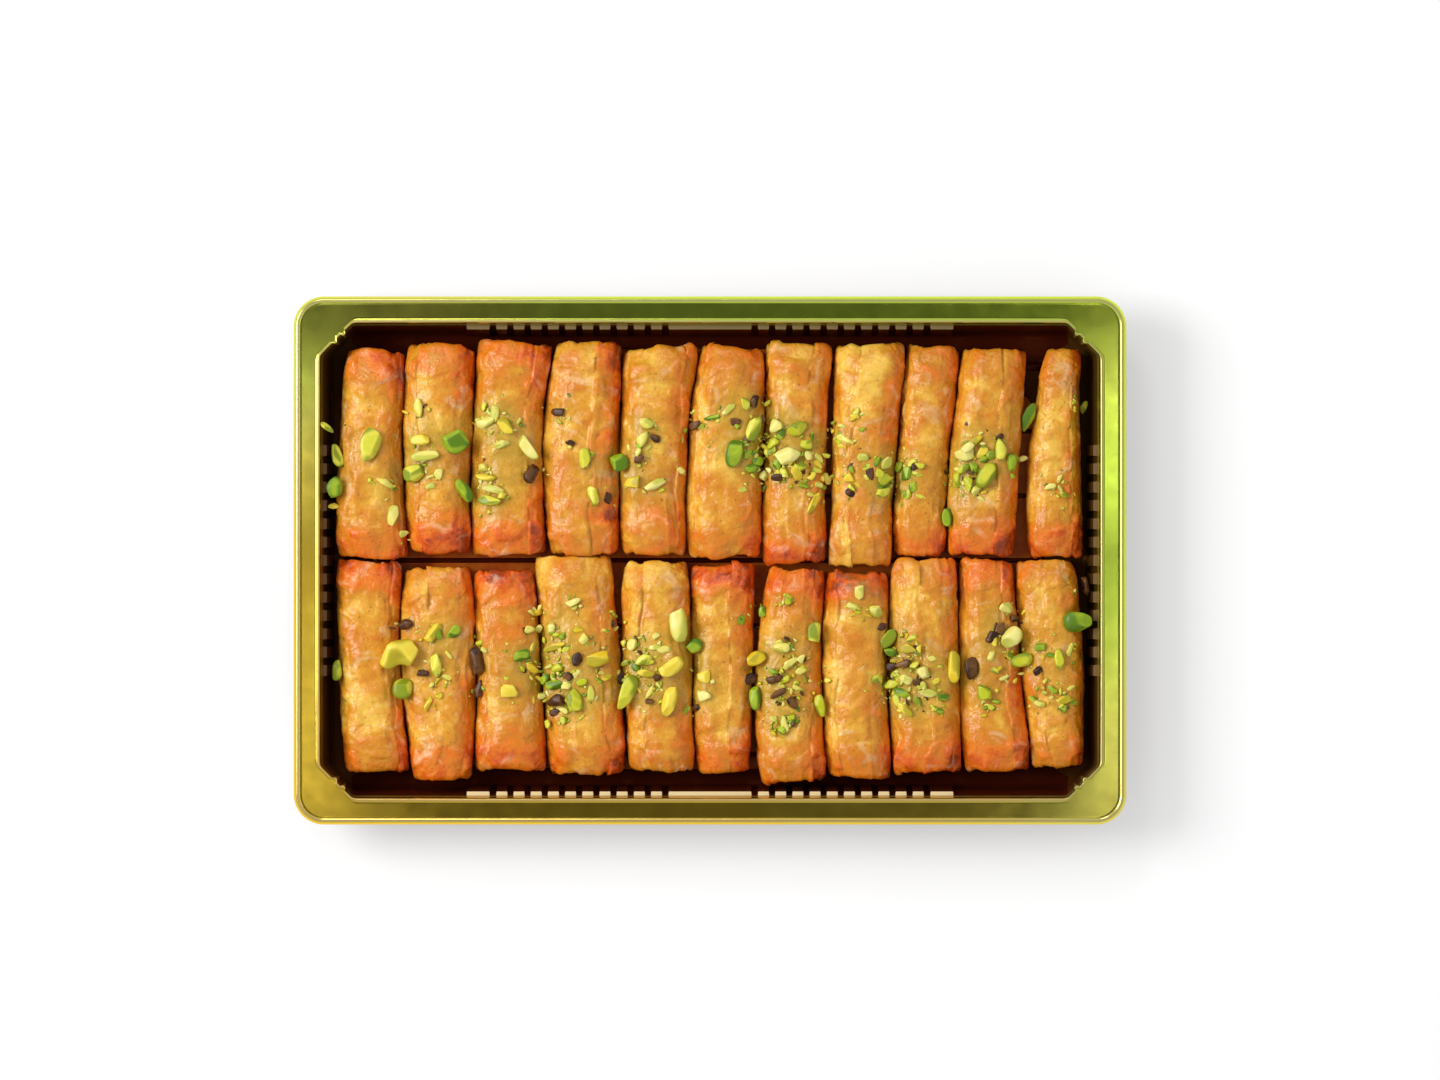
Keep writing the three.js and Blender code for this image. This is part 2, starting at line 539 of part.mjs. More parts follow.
// One point of a finger's skin. Round the section the wrap winds outwards like a spiral, so that its
// outer edge stands proud along one line.
function fingerPoint(finger, share, angle, scale) {
  const frame = fingerFrame(finger, share);
  const seam = THREE.MathUtils.degToRad(finger.seam);
  const wind = THREE.MathUtils.euclideanModulo(angle - seam - 1e-6, 2 * Math.PI) / (2 * Math.PI);
  const rise = Math.sin(angle);
  const swell = 1 + SEAM_STEP * (wind - 0.5) * Math.max(rise, SEAM_LEAST);
  const across = signedPower(Math.cos(angle), TOP_ROUNDNESS) * frame.half * swell * scale;
  const reach = rise > 0 ? frame.height * UPPER_SHARE * swell : frame.height * (1 - UPPER_SHARE);
  const up = signedPower(rise, rise > 0 ? TOP_ROUNDNESS : BASE_ROUNDNESS) * reach * scale;
  const middle = FINGER_FLOOR + frame.height * (1 - UPPER_SHARE);
  return [frame.x + across, frame.y + frame.slant * across / (2 * frame.half), middle + up];
}

// The angles at which a finger's section has corners, with a close pair at the wrap's edge.
function sectionAngles(finger) {
  const seam = THREE.MathUtils.degToRad(finger.seam);
  const angles = [];
  for (let i = 0; i < SECTION_SIDES; i += 1) {
    angles.push(seam + (i / SECTION_SIDES) * 2 * Math.PI);
  }
  angles.push(seam + 2 * Math.PI - SEAM_TURN);
  return angles;
}

// The bare finger as a solid.
function buildFinger(finger) {
  const length = finger.y[0] - finger.y[1];
  const start = [0, END_ROUND, FLAP_LENGTH - FLAP_SLOPE / 2, FLAP_LENGTH + FLAP_SLOPE / 2].map(
    (place) => place / length);
  const shares = [...start, ...MIDDLE_SHARES, ...start.map((share) => 1 - share).reverse()];
  const angles = sectionAngles(finger);
  const rings = shares.map((share) => {
    const scale = share === 0 || share === 1 ? END_SCALE : 1;
    return angles.map((angle) => fingerPoint(finger, share, angle, scale));
  });
  const centre = (share, inward) => {
    const frame = fingerFrame(finger, share);
    return [frame.x, frame.y + inward, FINGER_FLOOR + frame.height * (1 - UPPER_SHARE)];
  };
  return solidOf(skinOfRings(rings, centre(0, -END_DIMPLE), centre(1, END_DIMPLE)));
}

const FINGERS = [...FAR_ROW, ...NEAR_ROW];

// The height of a finger's top at a point in plan, or nothing where the finger isn't under it.
function fingerTop(finger, x, y) {
  const share = (finger.y[0] - y) / (finger.y[0] - finger.y[1]);
  if (share < 0 || share > 1) {
    return null;
  }
  const frame = fingerFrame(finger, share);
  const ratio = (x - frame.x) / frame.half;
  if (Math.abs(ratio) >= 1) {
    return null;
  }
  const rise = (1 - Math.abs(ratio) ** (2 / TOP_ROUNDNESS)) ** (TOP_ROUNDNESS / 2);
  return FINGER_FLOOR + frame.height * (1 - UPPER_SHARE + UPPER_SHARE * rise);
}

// The height of whatever a loose piece would land on: a finger, the wall with its ribs, or the floor.
function groundHeight(x, y) {
  const inset = Math.min(TRAY_LENGTH / 2 - Math.abs(x), TRAY_WIDTH / 2 - Math.abs(y));
  const tops = FINGERS.map((finger) => fingerTop(finger, x, y) ?? 0);
  return Math.max(wallHeight(inset - RIB_PROUD - GAP), FLOOR_TOP + RIDGE_HEIGHT, ...tops);
}

// Turns a unit ball into a lumpy nut: stretched, pushed in and out, cleft, turned and tilted.
function shapeNut({ points, faces }, nut, thickness, draw) {
  const turn = THREE.MathUtils.degToRad(nut.turn);
  const tilt = nut.tilt ?? 0;
  const cleft = nut.cleft ?? 0;
  return {
    faces,
    points: points.map(([px, py, pz]) => {
      const lump = 1 + NUT_ROUGHNESS * (2 * draw() - 1);
      const notch = 1 - cleft * Math.exp(-((px / CLEFT_REACH) ** 2)) * (py < 0 ? 1 : CLEFT_BACK_SHARE);
      const local = new THREE.Vector3(
        px * lump * nut.length / 2,
        py * lump * notch * nut.width / 2,
        pz * lump * notch * thickness / 2,
      );
      local.applyAxisAngle(new THREE.Vector3(0, 0, 1), turn);
      local.applyAxisAngle(new THREE.Vector3(0, 1, 0), tilt);
      return [local.x + nut.x, local.y + nut.y, local.z];
    }),
  };
}

// A large nut, let down until it lies a hair above what carries it.
function buildLargeNut(nut, draw) {
  const ball = weld(new THREE.SphereGeometry(1, LARGE_SIDES, LARGE_RINGS));
  const shape = shapeNut(ball, nut, nut.width * LARGE_THICKNESS, draw);
  const lift = Math.max(...shape.points.map(([x, y, z]) => groundHeight(x, y) - z)) + REST_GAP;
  shape.points = shape.points.map(([x, y, z]) => [x, y, z + lift]);
  return solidOf(shape);
}

// Puts a chip on the nearest finger, no further down its side than it has room.
function settleChip(chip) {
  const row = chip.y > 0 ? FAR_ROW : NEAR_ROW;
  const share = (finger) => (finger.y[0] - chip.y) / (finger.y[0] - finger.y[1]);
  const away = (finger) => {
    const frame = fingerFrame(finger, share(finger));
    return Math.abs(chip.x - frame.x) / frame.half;
  };
  const finger = row.reduce((best, other) => (away(other) < away(best) ? other : best));
  const frame = fingerFrame(finger, share(finger));
  const turn = THREE.MathUtils.degToRad(chip.turn);
  const reach = Math.hypot(chip.length * Math.cos(turn), chip.width * Math.sin(turn)) / 2;
  const limit = Math.max(frame.half - GAP - reach * (1 + NUT_ROUGHNESS), 0);
  const offset = THREE.MathUtils.clamp(chip.x - frame.x, -limit, limit);
  return {
    ...chip,
    finger,
    x: frame.x + offset,
    tilt: Math.asin(offset / frame.half) * CHIP_TILT_SHARE,
    rest: fingerTop(finger, frame.x + offset, chip.y),
  };
}

// One chopped piece as a twenty-sided solid, let down until part of it has sunk in the pastry.
function buildChip(chip, bare, draw) {
  const thickness = chip.width * CHIP_THICKNESS;
  const shape = shapeNut(weld(new THREE.IcosahedronGeometry(1, 0)), chip, thickness, draw);
  let solid = solidOf(shape).translate([0, 0, chip.rest + thickness / 2]);
  while (bare.intersect(solid).volume() < CHIP_SUNK_SHARE * solid.volume()) {
    solid = solid.translate([0, 0, -CHIP_SINK_STEP]);
  }
  return solid;
}

// Adds one named mesh to the group.
function addPiece(group, name, solid, material) {
  const mesh = new THREE.Mesh(geometryOf(solid), material);
  mesh.name = name;
  group.add(mesh);
}

// A two-digit number for a name.
function numbered(prefix, index) {
  return `${prefix}_${String(index + 1).padStart(2, '0')}`;
}

// The whole object.
function buildPlate() {
  const group = new THREE.Group();
  const draw = makeDraw(SHAPE_SEED);
  const chips = CHIPS.map(settleChip);
  addPiece(group, 'tray', buildTray(), MATERIALS.tray);
  for (const [prefix, row] of [['finger_far', FAR_ROW], ['finger_near', NEAR_ROW]]) {
    row.forEach((finger, index) => {
      const toppings = chips.filter((chip) => chip.finger === finger);
      const bare = buildFinger(finger);
      const solids = [bare, ...toppings.map((chip) => buildChip(chip, bare, draw))];
      addPiece(group, numbered(prefix, index), wasm.Manifold.union(solids), MATERIALS.pastry);
    });
  }
  LARGE_NUTS.forEach((nut, index) => {
    addPiece(group, numbered('pistachio', index), buildLargeNut(nut, draw), MATERIALS.nut);
  });
  return group;
}

export default buildPlate();
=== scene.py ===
"""Dresses a tray of cheese fingers: its surfaces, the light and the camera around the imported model.

The tray is thin thermoformed plastic, gilded on the rim and black inside. It holds two rows of eleven
rolled filo fingers, brushed with syrup, under chopped pistachios. Lengths are millimetres until a mesh
is made, in the model's axes: +X along the tray, +Y towards the far row and +Z up.
"""

from __future__ import annotations

import itertools
import logging
from dataclasses import dataclass, field, replace
from enum import Enum
from typing import Any

import bpy
import numpy as np
from numpy.typing import NDArray
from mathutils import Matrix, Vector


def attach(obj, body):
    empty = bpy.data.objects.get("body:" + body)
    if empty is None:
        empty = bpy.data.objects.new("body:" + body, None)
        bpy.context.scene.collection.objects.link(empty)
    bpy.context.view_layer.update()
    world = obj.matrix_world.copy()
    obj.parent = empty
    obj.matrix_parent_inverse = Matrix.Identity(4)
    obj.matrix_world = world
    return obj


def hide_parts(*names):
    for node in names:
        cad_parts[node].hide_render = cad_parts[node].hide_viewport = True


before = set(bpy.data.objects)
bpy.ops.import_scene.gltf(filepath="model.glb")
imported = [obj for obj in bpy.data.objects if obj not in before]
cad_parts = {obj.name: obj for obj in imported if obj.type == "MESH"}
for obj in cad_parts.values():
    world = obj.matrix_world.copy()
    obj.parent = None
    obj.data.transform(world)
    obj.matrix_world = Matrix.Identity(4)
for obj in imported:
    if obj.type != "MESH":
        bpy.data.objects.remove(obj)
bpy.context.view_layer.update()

Array = NDArray[Any]

MM = 0.001
BODY = "root"
TURN = 2.0 * np.pi

log = logging.getLogger("cheese_fingers")


# Numbers

def mix(low: Any, high: Any, share: Any) -> Any:
    """Mixes two values by a share from 0 to 1."""
    return low + (high - low) * share


def smooth_step(low: float, high: float, value: Array) -> Array:
    """Rises from 0 to 1 between two values along the curve 3t² - 2t³."""
    share = np.clip((value - low) / (high - low), 0.0, 1.0)
    return share * share * (3.0 - 2.0 * share)


def through(values: tuple[float, float, float], share: Array) -> Array:
    """Gives the parabola through three values at 0, one half and 1."""
    start, middle, end = values
    return (start * (2.0 * share - 1.0) * (share - 1.0) + middle * 4.0 * share * (1.0 - share)
            + end * share * (2.0 * share - 1.0))


def signed_power(value: Array, power: float) -> Array:
    """Raises the size of each value to a power and keeps its sign."""
    return np.sign(value) * np.abs(value) ** power


def bump(value: Array, centre: float, reach: float) -> Array:
    """Gives a bell, exp(-d²), where d is the distance from its centre in reaches."""
    return np.exp(-((value - centre) / reach) ** 2)


def cell_values(cells: Array, seed: int) -> Array:
    """Gives every whole-number cell its own fixed value by mixing the bits of its indices.

    Args:
        cells: whole numbers, the last axis holding one cell's indices.
        seed: a number that picks the pattern.

    Returns:
        Values from -1 to 1, one a cell.
    """
    mixed = np.full(cells.shape[:-1], seed * 2654435761 % 2 ** 32, dtype=np.uint64)
    for axis, prime in zip(range(cells.shape[-1]), (73856093, 19349663, 83492791)):
        mixed ^= (cells[..., axis].astype(np.int64) * prime).astype(np.uint64) & 0xFFFFFFFF
    for shift, factor in ((15, 2246822519), (13, 3266489917), (16, 668265263)):
        mixed = ((mixed ^ (mixed >> np.uint64(shift))) * np.uint64(factor)) & np.uint64(0xFFFFFFFF)
    return mixed.astype(float) / 2.0 ** 31 - 1.0


def noise(places: Array, cell: tuple[float, ...], seed: int) -> Array:
    """Gives smooth noise: fixed values at the corners of a grid, eased from corner to corner.

    Args:
        places: coordinates in millimetres, the last axis holding one place's.
        cell: the size of a grid cell along each coordinate.
        seed: a number that picks the pattern.

    Returns:
        Values from -1 to 1, one a place.
    """
    scaled = places / np.array(cell)
    base = np.floor(scaled)
    part = scaled - base
    ease = part ** 3 * (part * (part * 6.0 - 15.0) + 10.0)
    total = np.zeros(places.shape[:-1])
    for corner in itertools.product((0, 1), repeat=len(cell)):
        weight = np.prod(np.where(np.array(corner) == 1, ease, 1.0 - ease), axis=-1)
        total += weight * cell_values(base.astype(np.int64) + np.array(corner), seed)
    return total


# Meshes

@dataclass
class Skin:
    """A closed surface of triangles, with a value at each point for every named attribute."""

    points: Array
    faces: Array
    values: dict[str, Array] = field(default_factory=dict)

    @staticmethod
    def joined(skins: list[Skin]) -> Skin:
        """Puts several surfaces with the same attributes into one."""
        starts = np.cumsum([0] + [len(skin.points) for skin in skins[:-1]])
        return Skin(
            np.concatenate([skin.points for skin in skins]),
            np.concatenate([skin.faces + start for skin, start in zip(skins, starts)]),
            {name: np.concatenate([skin.values[name] for skin in skins]) for name in skins[0].values},
        )


def ring_faces(rings: int, sides: int) -> Array:
    """Lists the triangles between closed rings of points, with a fan to a pole at either end.

    Args:
        rings: how many rings there are.
        sides: how many points a ring has.

    Returns:
        Point indices, three a triangle. The poles are the two points after the last ring.
    """
    ring, side = np.meshgrid(np.arange(rings - 1), np.arange(sides), indexing="ij")
    a = ring * sides + side
    b = ring * sides + (side + 1) % sides
    c, d = a + sides, b + sides
    walls = np.stack([a, b, d, a, d, c], axis=-1).reshape(-1, 3)
    here, there = np.arange(sides), (np.arange(sides) + 1) % sides
    first, last, top = rings * sides, rings * sides + 1, (rings - 1) * sides
    first_fan = np.stack([np.full(sides, first), there, here], axis=-1)
    last_fan = np.stack([np.full(sides, last), top + here, top + there], axis=-1)
    return np.concatenate([walls, first_fan, last_fan])


def ring_skin(points: Array, poles: Array, values: dict[str, Array], pole_values: dict[str, Any]) -> Skin:
    """Makes a surface from a grid of points whose rows are closed rings.

    Args:
        points: the grid, rings by sides by three.
        poles: the two points that close the ends.
        values: attributes, each rings by sides.
        pole_values: each attribute's value at both poles.

    Returns:
        The closed surface.
    """
    rings, sides = points.shape[:2]
    flat = {name: np.append(value.ravel(), [pole_values[name]] * 2) for name, value in values.items()}
    return Skin(np.concatenate([points.reshape(-1, 3), poles]), ring_faces(rings, sides), flat)


def grid_normals(points: Array) -> Array:
    """Gives the unit normal at each point of a ring grid: the cross product of its two directions.

    Args:
        points: the grid, rings by sides by three.

    Returns:
        The normals, in a grid of the same size.
    """
    around = np.roll(points, -1, axis=1) - np.roll(points, 1, axis=1)
    along = np.gradient(points, axis=0)
    normal = np.cross(around, along)
    return normal / np.maximum(np.linalg.norm(normal, axis=-1, keepdims=True), 1e-9)


def add_piece(name: str, skin: Skin, material: bpy.types.Material,
              replaced: tuple[str, ...] = (), crease: float | None = None) -> bpy.types.Object:
    """Makes a mesh object of a surface, dresses it and hangs it on the model's body.

    Args:
        name: the object's name.
        skin: the surface in millimetres.
        material: the finish.
        replaced: the model's nodes that the piece stands for.
        crease: the angle in degrees past which an edge is sharp, or None for none.

    Returns:
        The object.
    """
    mesh = bpy.data.meshes.new(name)
    count = len(skin.faces)
    mesh.vertices.add(len(skin.points))
    mesh.vertices.foreach_set("co", (skin.points * MM).astype(np.float32).ravel())
    mesh.loops.add(3 * count)
    mesh.loops.foreach_set("vertex_index", skin.faces.astype(np.int32).ravel())
    mesh.polygons.add(count)
    mesh.polygons.foreach_set("loop_start", np.arange(0, 3 * count, 3, dtype=np.int32))
    mesh.update(calc_edges=True)
    mesh.polygons.foreach_set("use_smooth", np.ones(count, dtype=bool))
    for title, values in skin.values.items():
        attribute = mesh.attributes.new(title, "FLOAT", "POINT")
        attribute.data.foreach_set("value", values.astype(np.float32))
    if crease is not None:
        mesh.set_sharp_from_angle(angle=np.radians(crease))
    mesh.materials.append(material)
    piece = bpy.data.objects.new(name, mesh)
    bpy.context.scene.collection.objects.link(piece)
    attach(piece, BODY)
    if replaced:
        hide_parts(*replaced)
    log.info("%s: %d triangles", name, count)
    return piece


# Finishes

def linear(colour: str) -> tuple[float, float, float, float]:
    """Turns sRGB to linear light: v / 12.92 up to 0.04045, and ((v + 0.055) / 1.055)^2.4 above.

    Args:
        colour: a hex value with its number sign.

    Returns:
        Linear red, green and blue, and an alpha of 1.
    """
    values = np.array([int(colour[i:i + 2], 16) for i in (1, 3, 5)]) / 255.0
    bright = ((values + 0.055) / 1.055) ** 2.4
    return (*np.where(values <= 0.04045, values / 12.92, bright).tolist(), 1.0)


def per(size: float) -> float:
    """Gives a texture's scale for features of a size in millimetres, as its coordinates are metres."""
    return 1.0 / (size * MM)


def add_node(tree: bpy.types.NodeTree, kind: str, inputs: dict[Any, Any] | None = None,
             **settings: Any) -> bpy.types.Node:
    """Adds a node to a tree.

    Args:
        tree: the node tree.
        kind: the node's type name.
        inputs: a value or another node's output for each input, by the input's name or number.
        **settings: the node's own settings. A list of place and colour pairs for stops fills its ramp.

    Returns:
        The node.
    """
    node = tree.nodes.new(kind)
    stops = settings.pop("stops", None)
    for name, value in settings.items():
        setattr(node, name, value)
    for key, value in (inputs or {}).items():
        if isinstance(value, bpy.types.NodeSocket):
            tree.links.new(value, node.inputs[key])
        else:
            node.inputs[key].default_value = value
    if stops:
        elements = node.color_ramp.elements
        elements.remove(elements[1])
        for place, colour in stops:
            elements.new(place).color = linear(colour)
        elements.remove(elements[0])
    return node


def new_material(name: str) -> tuple[bpy.types.Material, bpy.types.NodeTree]:
    """Makes an empty node material.

    Args:
        name: its name.

    Returns:
        The material and its node tree.
    """
    material = bpy.data.materials.new(name)
    material.use_nodes = True
    material.node_tree.nodes.clear()
    return material, material.node_tree


@dataclass(frozen=True)
class GiltPlastic:
    """Thin plastic sheet with a gold mirror film on the rim and black inside.

    The film gives the rim soft, slightly wavy reflections, and its gold is painted with reflections too:
    it drifts through olive and turns to lime towards the far side and the right. The black inside shines
    like lacquer with a painted warm tint in its reflections, and the ledges and the top of the edge carry
    painted highlights.
    """

    gold: str = "#e9c442"
    olive: str = "#dcd460"
    lime: str = "#cfe850"
    # Painted highlight colour for the ledges, the bead and the top of the edge.
    painted_highlight_colour: str = "#f0dca8"
    black: str = "#481808"
    black_painted_reflection_tint: str = "#ff8a50"
    film_gloss: str = "#fff2c0"
    # Painted reflections: the film's gold drifts through olive and turns to lime by place.
    painted_reflection_stops: tuple[float, float, float] = (0.24, 0.6, 0.95)
    painted_lime_reflection_to_the_right: float = 0.18
    painted_lime_reflection_to_the_far_side: float = 0.36
    painted_reflection_drift_size: float = 70.0
    film_roughness: float = 0.14
    black_roughness: float = 0.22
    specular: float = 0.3
    wave_size: float = 26.0
    wave_height: float = 0.12
    smear_size: float = 5.0
    smear_range: tuple[float, float] = (0.3, 0.75)
    smear_spread: tuple[float, float] = (0.8, 1.3)
    half_length: float = 109.0
    half_width: float = 69.15

    def material(self) -> bpy.types.Material:
        """Makes the material, which reads the attributes gilt and painted_highlight.

        Returns:
            The material.
        """
        material, tree = new_material("gilt_plastic")
        place = add_node(tree, "ShaderNodeTexCoord").outputs["Object"]
        gilt, painted_highlight = (add_node(tree, "ShaderNodeAttribute", attribute_name=name).outputs["Fac"]
                       for name in ("gilt", "painted_highlight"))
        drift, smear, wave = (
            add_node(tree, "ShaderNodeTexNoise",
                     {"Vector": place, "Scale": per(size), "Detail": detail}).outputs["Fac"]
            for size, detail in ((self.painted_reflection_drift_size, 1.0), (self.smear_size, 4.0), (self.wave_size, 1.0)))
        axes = add_node(tree, "ShaderNodeSeparateXYZ", {0: place})
        # Painted reflection: noise and place shift the film's colour from gold to lime, standing in for the
        # room seen in it.
        tint = drift
        for axis, change in (("X", self.painted_lime_reflection_to_the_right / self.half_length),
                             ("Y", self.painted_lime_reflection_to_the_far_side / self.half_width)):
            tint = add_node(tree, "ShaderNodeMath", {0: axes.outputs[axis], 1: change / MM, 2: tint},
                            operation="MULTIPLY_ADD").outputs[0]
        film = add_node(tree, "ShaderNodeValToRGB", {"Fac": tint}, stops=list(zip(
            self.painted_reflection_stops, (self.gold, self.olive, self.lime)))).outputs["Color"]
        # Specular tint: the black inside gets a painted warm tint in its reflections, and the film a pale
        # gold edge tint.
        colour, gloss = (
            add_node(tree, "ShaderNodeMix", {"Factor": gilt, 6: linear(black), 7: golden},
                     data_type="RGBA").outputs[2]
            for black, golden in ((self.black, film), (self.black_painted_reflection_tint, linear(self.film_gloss))))
        # Painted highlight: pale cream mixed over the ledges, the bead and the top of the edge.
        colour = add_node(tree, "ShaderNodeMix", {"Factor": painted_highlight, 6: colour, 7: linear(self.painted_highlight_colour)},
                          data_type="RGBA").outputs[2]
        smooth, dull = (share * self.film_roughness for share in self.smear_spread)
        shine = add_node(tree, "ShaderNodeMapRange", {
            "Value": smear, "From Min": self.smear_range[0], "From Max": self.smear_range[1],
            "To Min": smooth, "To Max": dull}).outputs["Result"]
        rough = add_node(tree, "ShaderNodeMix", {"Factor": gilt, 2: self.black_roughness, 3: shine},
                         data_type="FLOAT").outputs[0]
        relief = add_node(tree, "ShaderNodeBump", {
            "Height": wave, "Strength": 1.0, "Distance": self.wave_height * MM}).outputs["Normal"]
        shader = add_node(tree, "ShaderNodeBsdfPrincipled", {
            "Base Color": colour, "Metallic": gilt, "Roughness": rough, "Normal": relief,
            "Specular IOR Level": self.specular, "Specular Tint": gloss})
        add_node(tree, "ShaderNodeOutputMaterial", {"Surface": shader.outputs[0]})
        return material


@dataclass(frozen=True)
class Grained:
    """A noise texture of a material: feature size in millimetres, detail and distortion."""

    size: float
    detail: float
    distortion: float = 0.0


@dataclass(frozen=True)
class Veil:
    """A thin layer of colour over a material, which a value between low and high fades in or out."""

    colour: str
    low: float
    high: float
    start: float
    end: float


@dataclass(frozen=True)
class BakedFilo:
    """Filo baked in butter and brushed with syrup.

    Thin layers let some light in, brown towards the ends and on the blisters, carry fine specks, and
    shine under a thin coat of syrup. Pale milky patches on it are partly dried syrup and partly painted
    sheen. Fine pistachio dust tints them olive round the nuts.
    """

    cream: str = "#f2c24e"
    straw: str = "#df9c28"
    honey: str = "#d48218"
    orange: str = "#e67a14"
    rust: str = "#d45408"
    umber: str = "#9a3c08"
    brown_stops: tuple[float, ...] = (0.02, 0.24, 0.45, 0.68, 0.88, 0.99)
    blotch: Grained = Grained(4.4, 4.0, 0.6)
    grain: Grained = Grained(1.0, 3.0)
    syrup_film_and_sheen: Grained = Grained(6.5, 3.0, 1.2)
    pillow: Grained = Grained(2.6, 2.0, 0.4)
    crumple: Grained = Grained(0.8, 3.0)
    glaze: Grained = Grained(3.4, 2.0)
    speck_size: float = 2.1
    blotch_share: float = 0.72
    grain_share: float = 0.3
    level_offset: float = 0.5
    # Partly dried syrup, partly painted sheen: pale pinkish patches that stand in for soft glints on the
    # glaze.
    film: Veil = Veil("#f8dfb4", 0.58, 0.7, 0.0, 0.3)
    dusting: Veil = Veil("#bc9a2e", 0.1, 0.45, 0.0, 0.75)
    speck: Veil = Veil("#84420f", 0.08, 0.16, 0.5, 0.0)
    pillow_height: float = 0.42
    crumple_height: float = 0.15
    roughness: float = 0.5
    specular: float = 0.25
    depth_share: float = 0.3
    depth: float = 2.4
    depth_colour: tuple[float, float, float] = (1.0, 0.46, 0.14)
    glaze_range: tuple[float, float] = (0.35, 0.65)
    syrup_coat: float = 0.6
    syrup_roughness: tuple[float, float] = (0.1, 0.34)
    syrup_ior: float = 1.45

    def material(self) -> bpy.types.Material:
        """Makes the material, which reads the attributes baked, which holds painted shade on the right
        flanks too, and dust.

        Returns:
            The material.
        """
        material, tree = new_material("baked_filo")
        place = add_node(tree, "ShaderNodeTexCoord").outputs["Object"]
        baked, dust = (add_node(tree, "ShaderNodeAttribute", attribute_name=name).outputs["Fac"]
                       for name in ("baked", "dust"))
        blotch, grain, syrup_film_and_sheen, pillow, crumple, glaze = (
            add_node(tree, "ShaderNodeTexNoise", {
                "Vector": place, "Scale": per(grained.size), "Detail": grained.detail,
                "Distortion": grained.distortion}).outputs["Fac"]
            for grained in (self.blotch, self.grain, self.syrup_film_and_sheen, self.pillow, self.crumple, self.glaze))
        dots = add_node(tree, "ShaderNodeTexVoronoi",
                        {"Vector": place, "Scale": per(self.speck_size)}).outputs["Distance"]
        dusted = add_node(tree, "ShaderNodeMath", {0: dust, 1: blotch}, operation="MULTIPLY").outputs[0]
        level = baked
        for pattern, share in ((blotch, self.blotch_share), (grain, self.grain_share)):
            level = add_node(tree, "ShaderNodeMath", {0: pattern, 1: share, 2: level},
                             operation="MULTIPLY_ADD").outputs[0]
        level = add_node(tree, "ShaderNodeMath", {0: level, 1: self.level_offset},
                         operation="SUBTRACT").outputs[0]
        browns = (self.cream, self.straw, self.honey, self.orange, self.rust, self.umber)
        colour = add_node(tree, "ShaderNodeValToRGB", {"Fac": level},
                          stops=list(zip(self.brown_stops, browns))).outputs["Color"]
        # The film veil is partly dried syrup and partly painted sheen.
        for value, veil in ((syrup_film_and_sheen, self.film), (dusted, self.dusting), (dots, self.speck)):
            share = add_node(tree, "ShaderNodeMapRange", {
                "Value": value, "From Min": veil.low, "From Max": veil.high, "To Min": veil.start,
                "To Max": veil.end}).outputs["Result"]
            colour = add_node(tree, "ShaderNodeMix", {"Factor": share, 6: colour, 7: linear(veil.colour)},
                              data_type="RGBA").outputs[2]
        gloss = add_node(tree, "ShaderNodeMapRange", {
            "Value": glaze, "From Min": self.glaze_range[0], "From Max": self.glaze_range[1],
            "To Min": self.syrup_roughness[0], "To Max": self.syrup_roughness[1]}).outputs["Result"]
        relief = add_node(tree, "ShaderNodeBump", {
            "Height": pillow, "Strength": 1.0, "Distance": self.pillow_height * MM}).outputs["Normal"]
        relief = add_node(tree, "ShaderNodeBump", {
            "Height": crumple, "Strength": 1.0, "Distance": self.crumple_height * MM,
            "Normal": relief}).outputs["Normal"]
        shader = add_node(tree, "ShaderNodeBsdfPrincipled", {
            "Base Color": colour, "Roughness": self.roughness, "Normal": relief,
            "Specular IOR Level": self.specular, "Subsurface Weight": self.depth_share,
            "Subsurface Radius": self.depth_colour, "Subsurface Scale": self.depth * MM,
            "Coat Weight": self.syrup_coat, "Coat IOR": self.syrup_ior, "Coat Normal": relief,
            "Coat Roughness": gloss})
        add_node(tree, "ShaderNodeOutputMaterial", {"Surface": shader.outputs[0]})
        return material


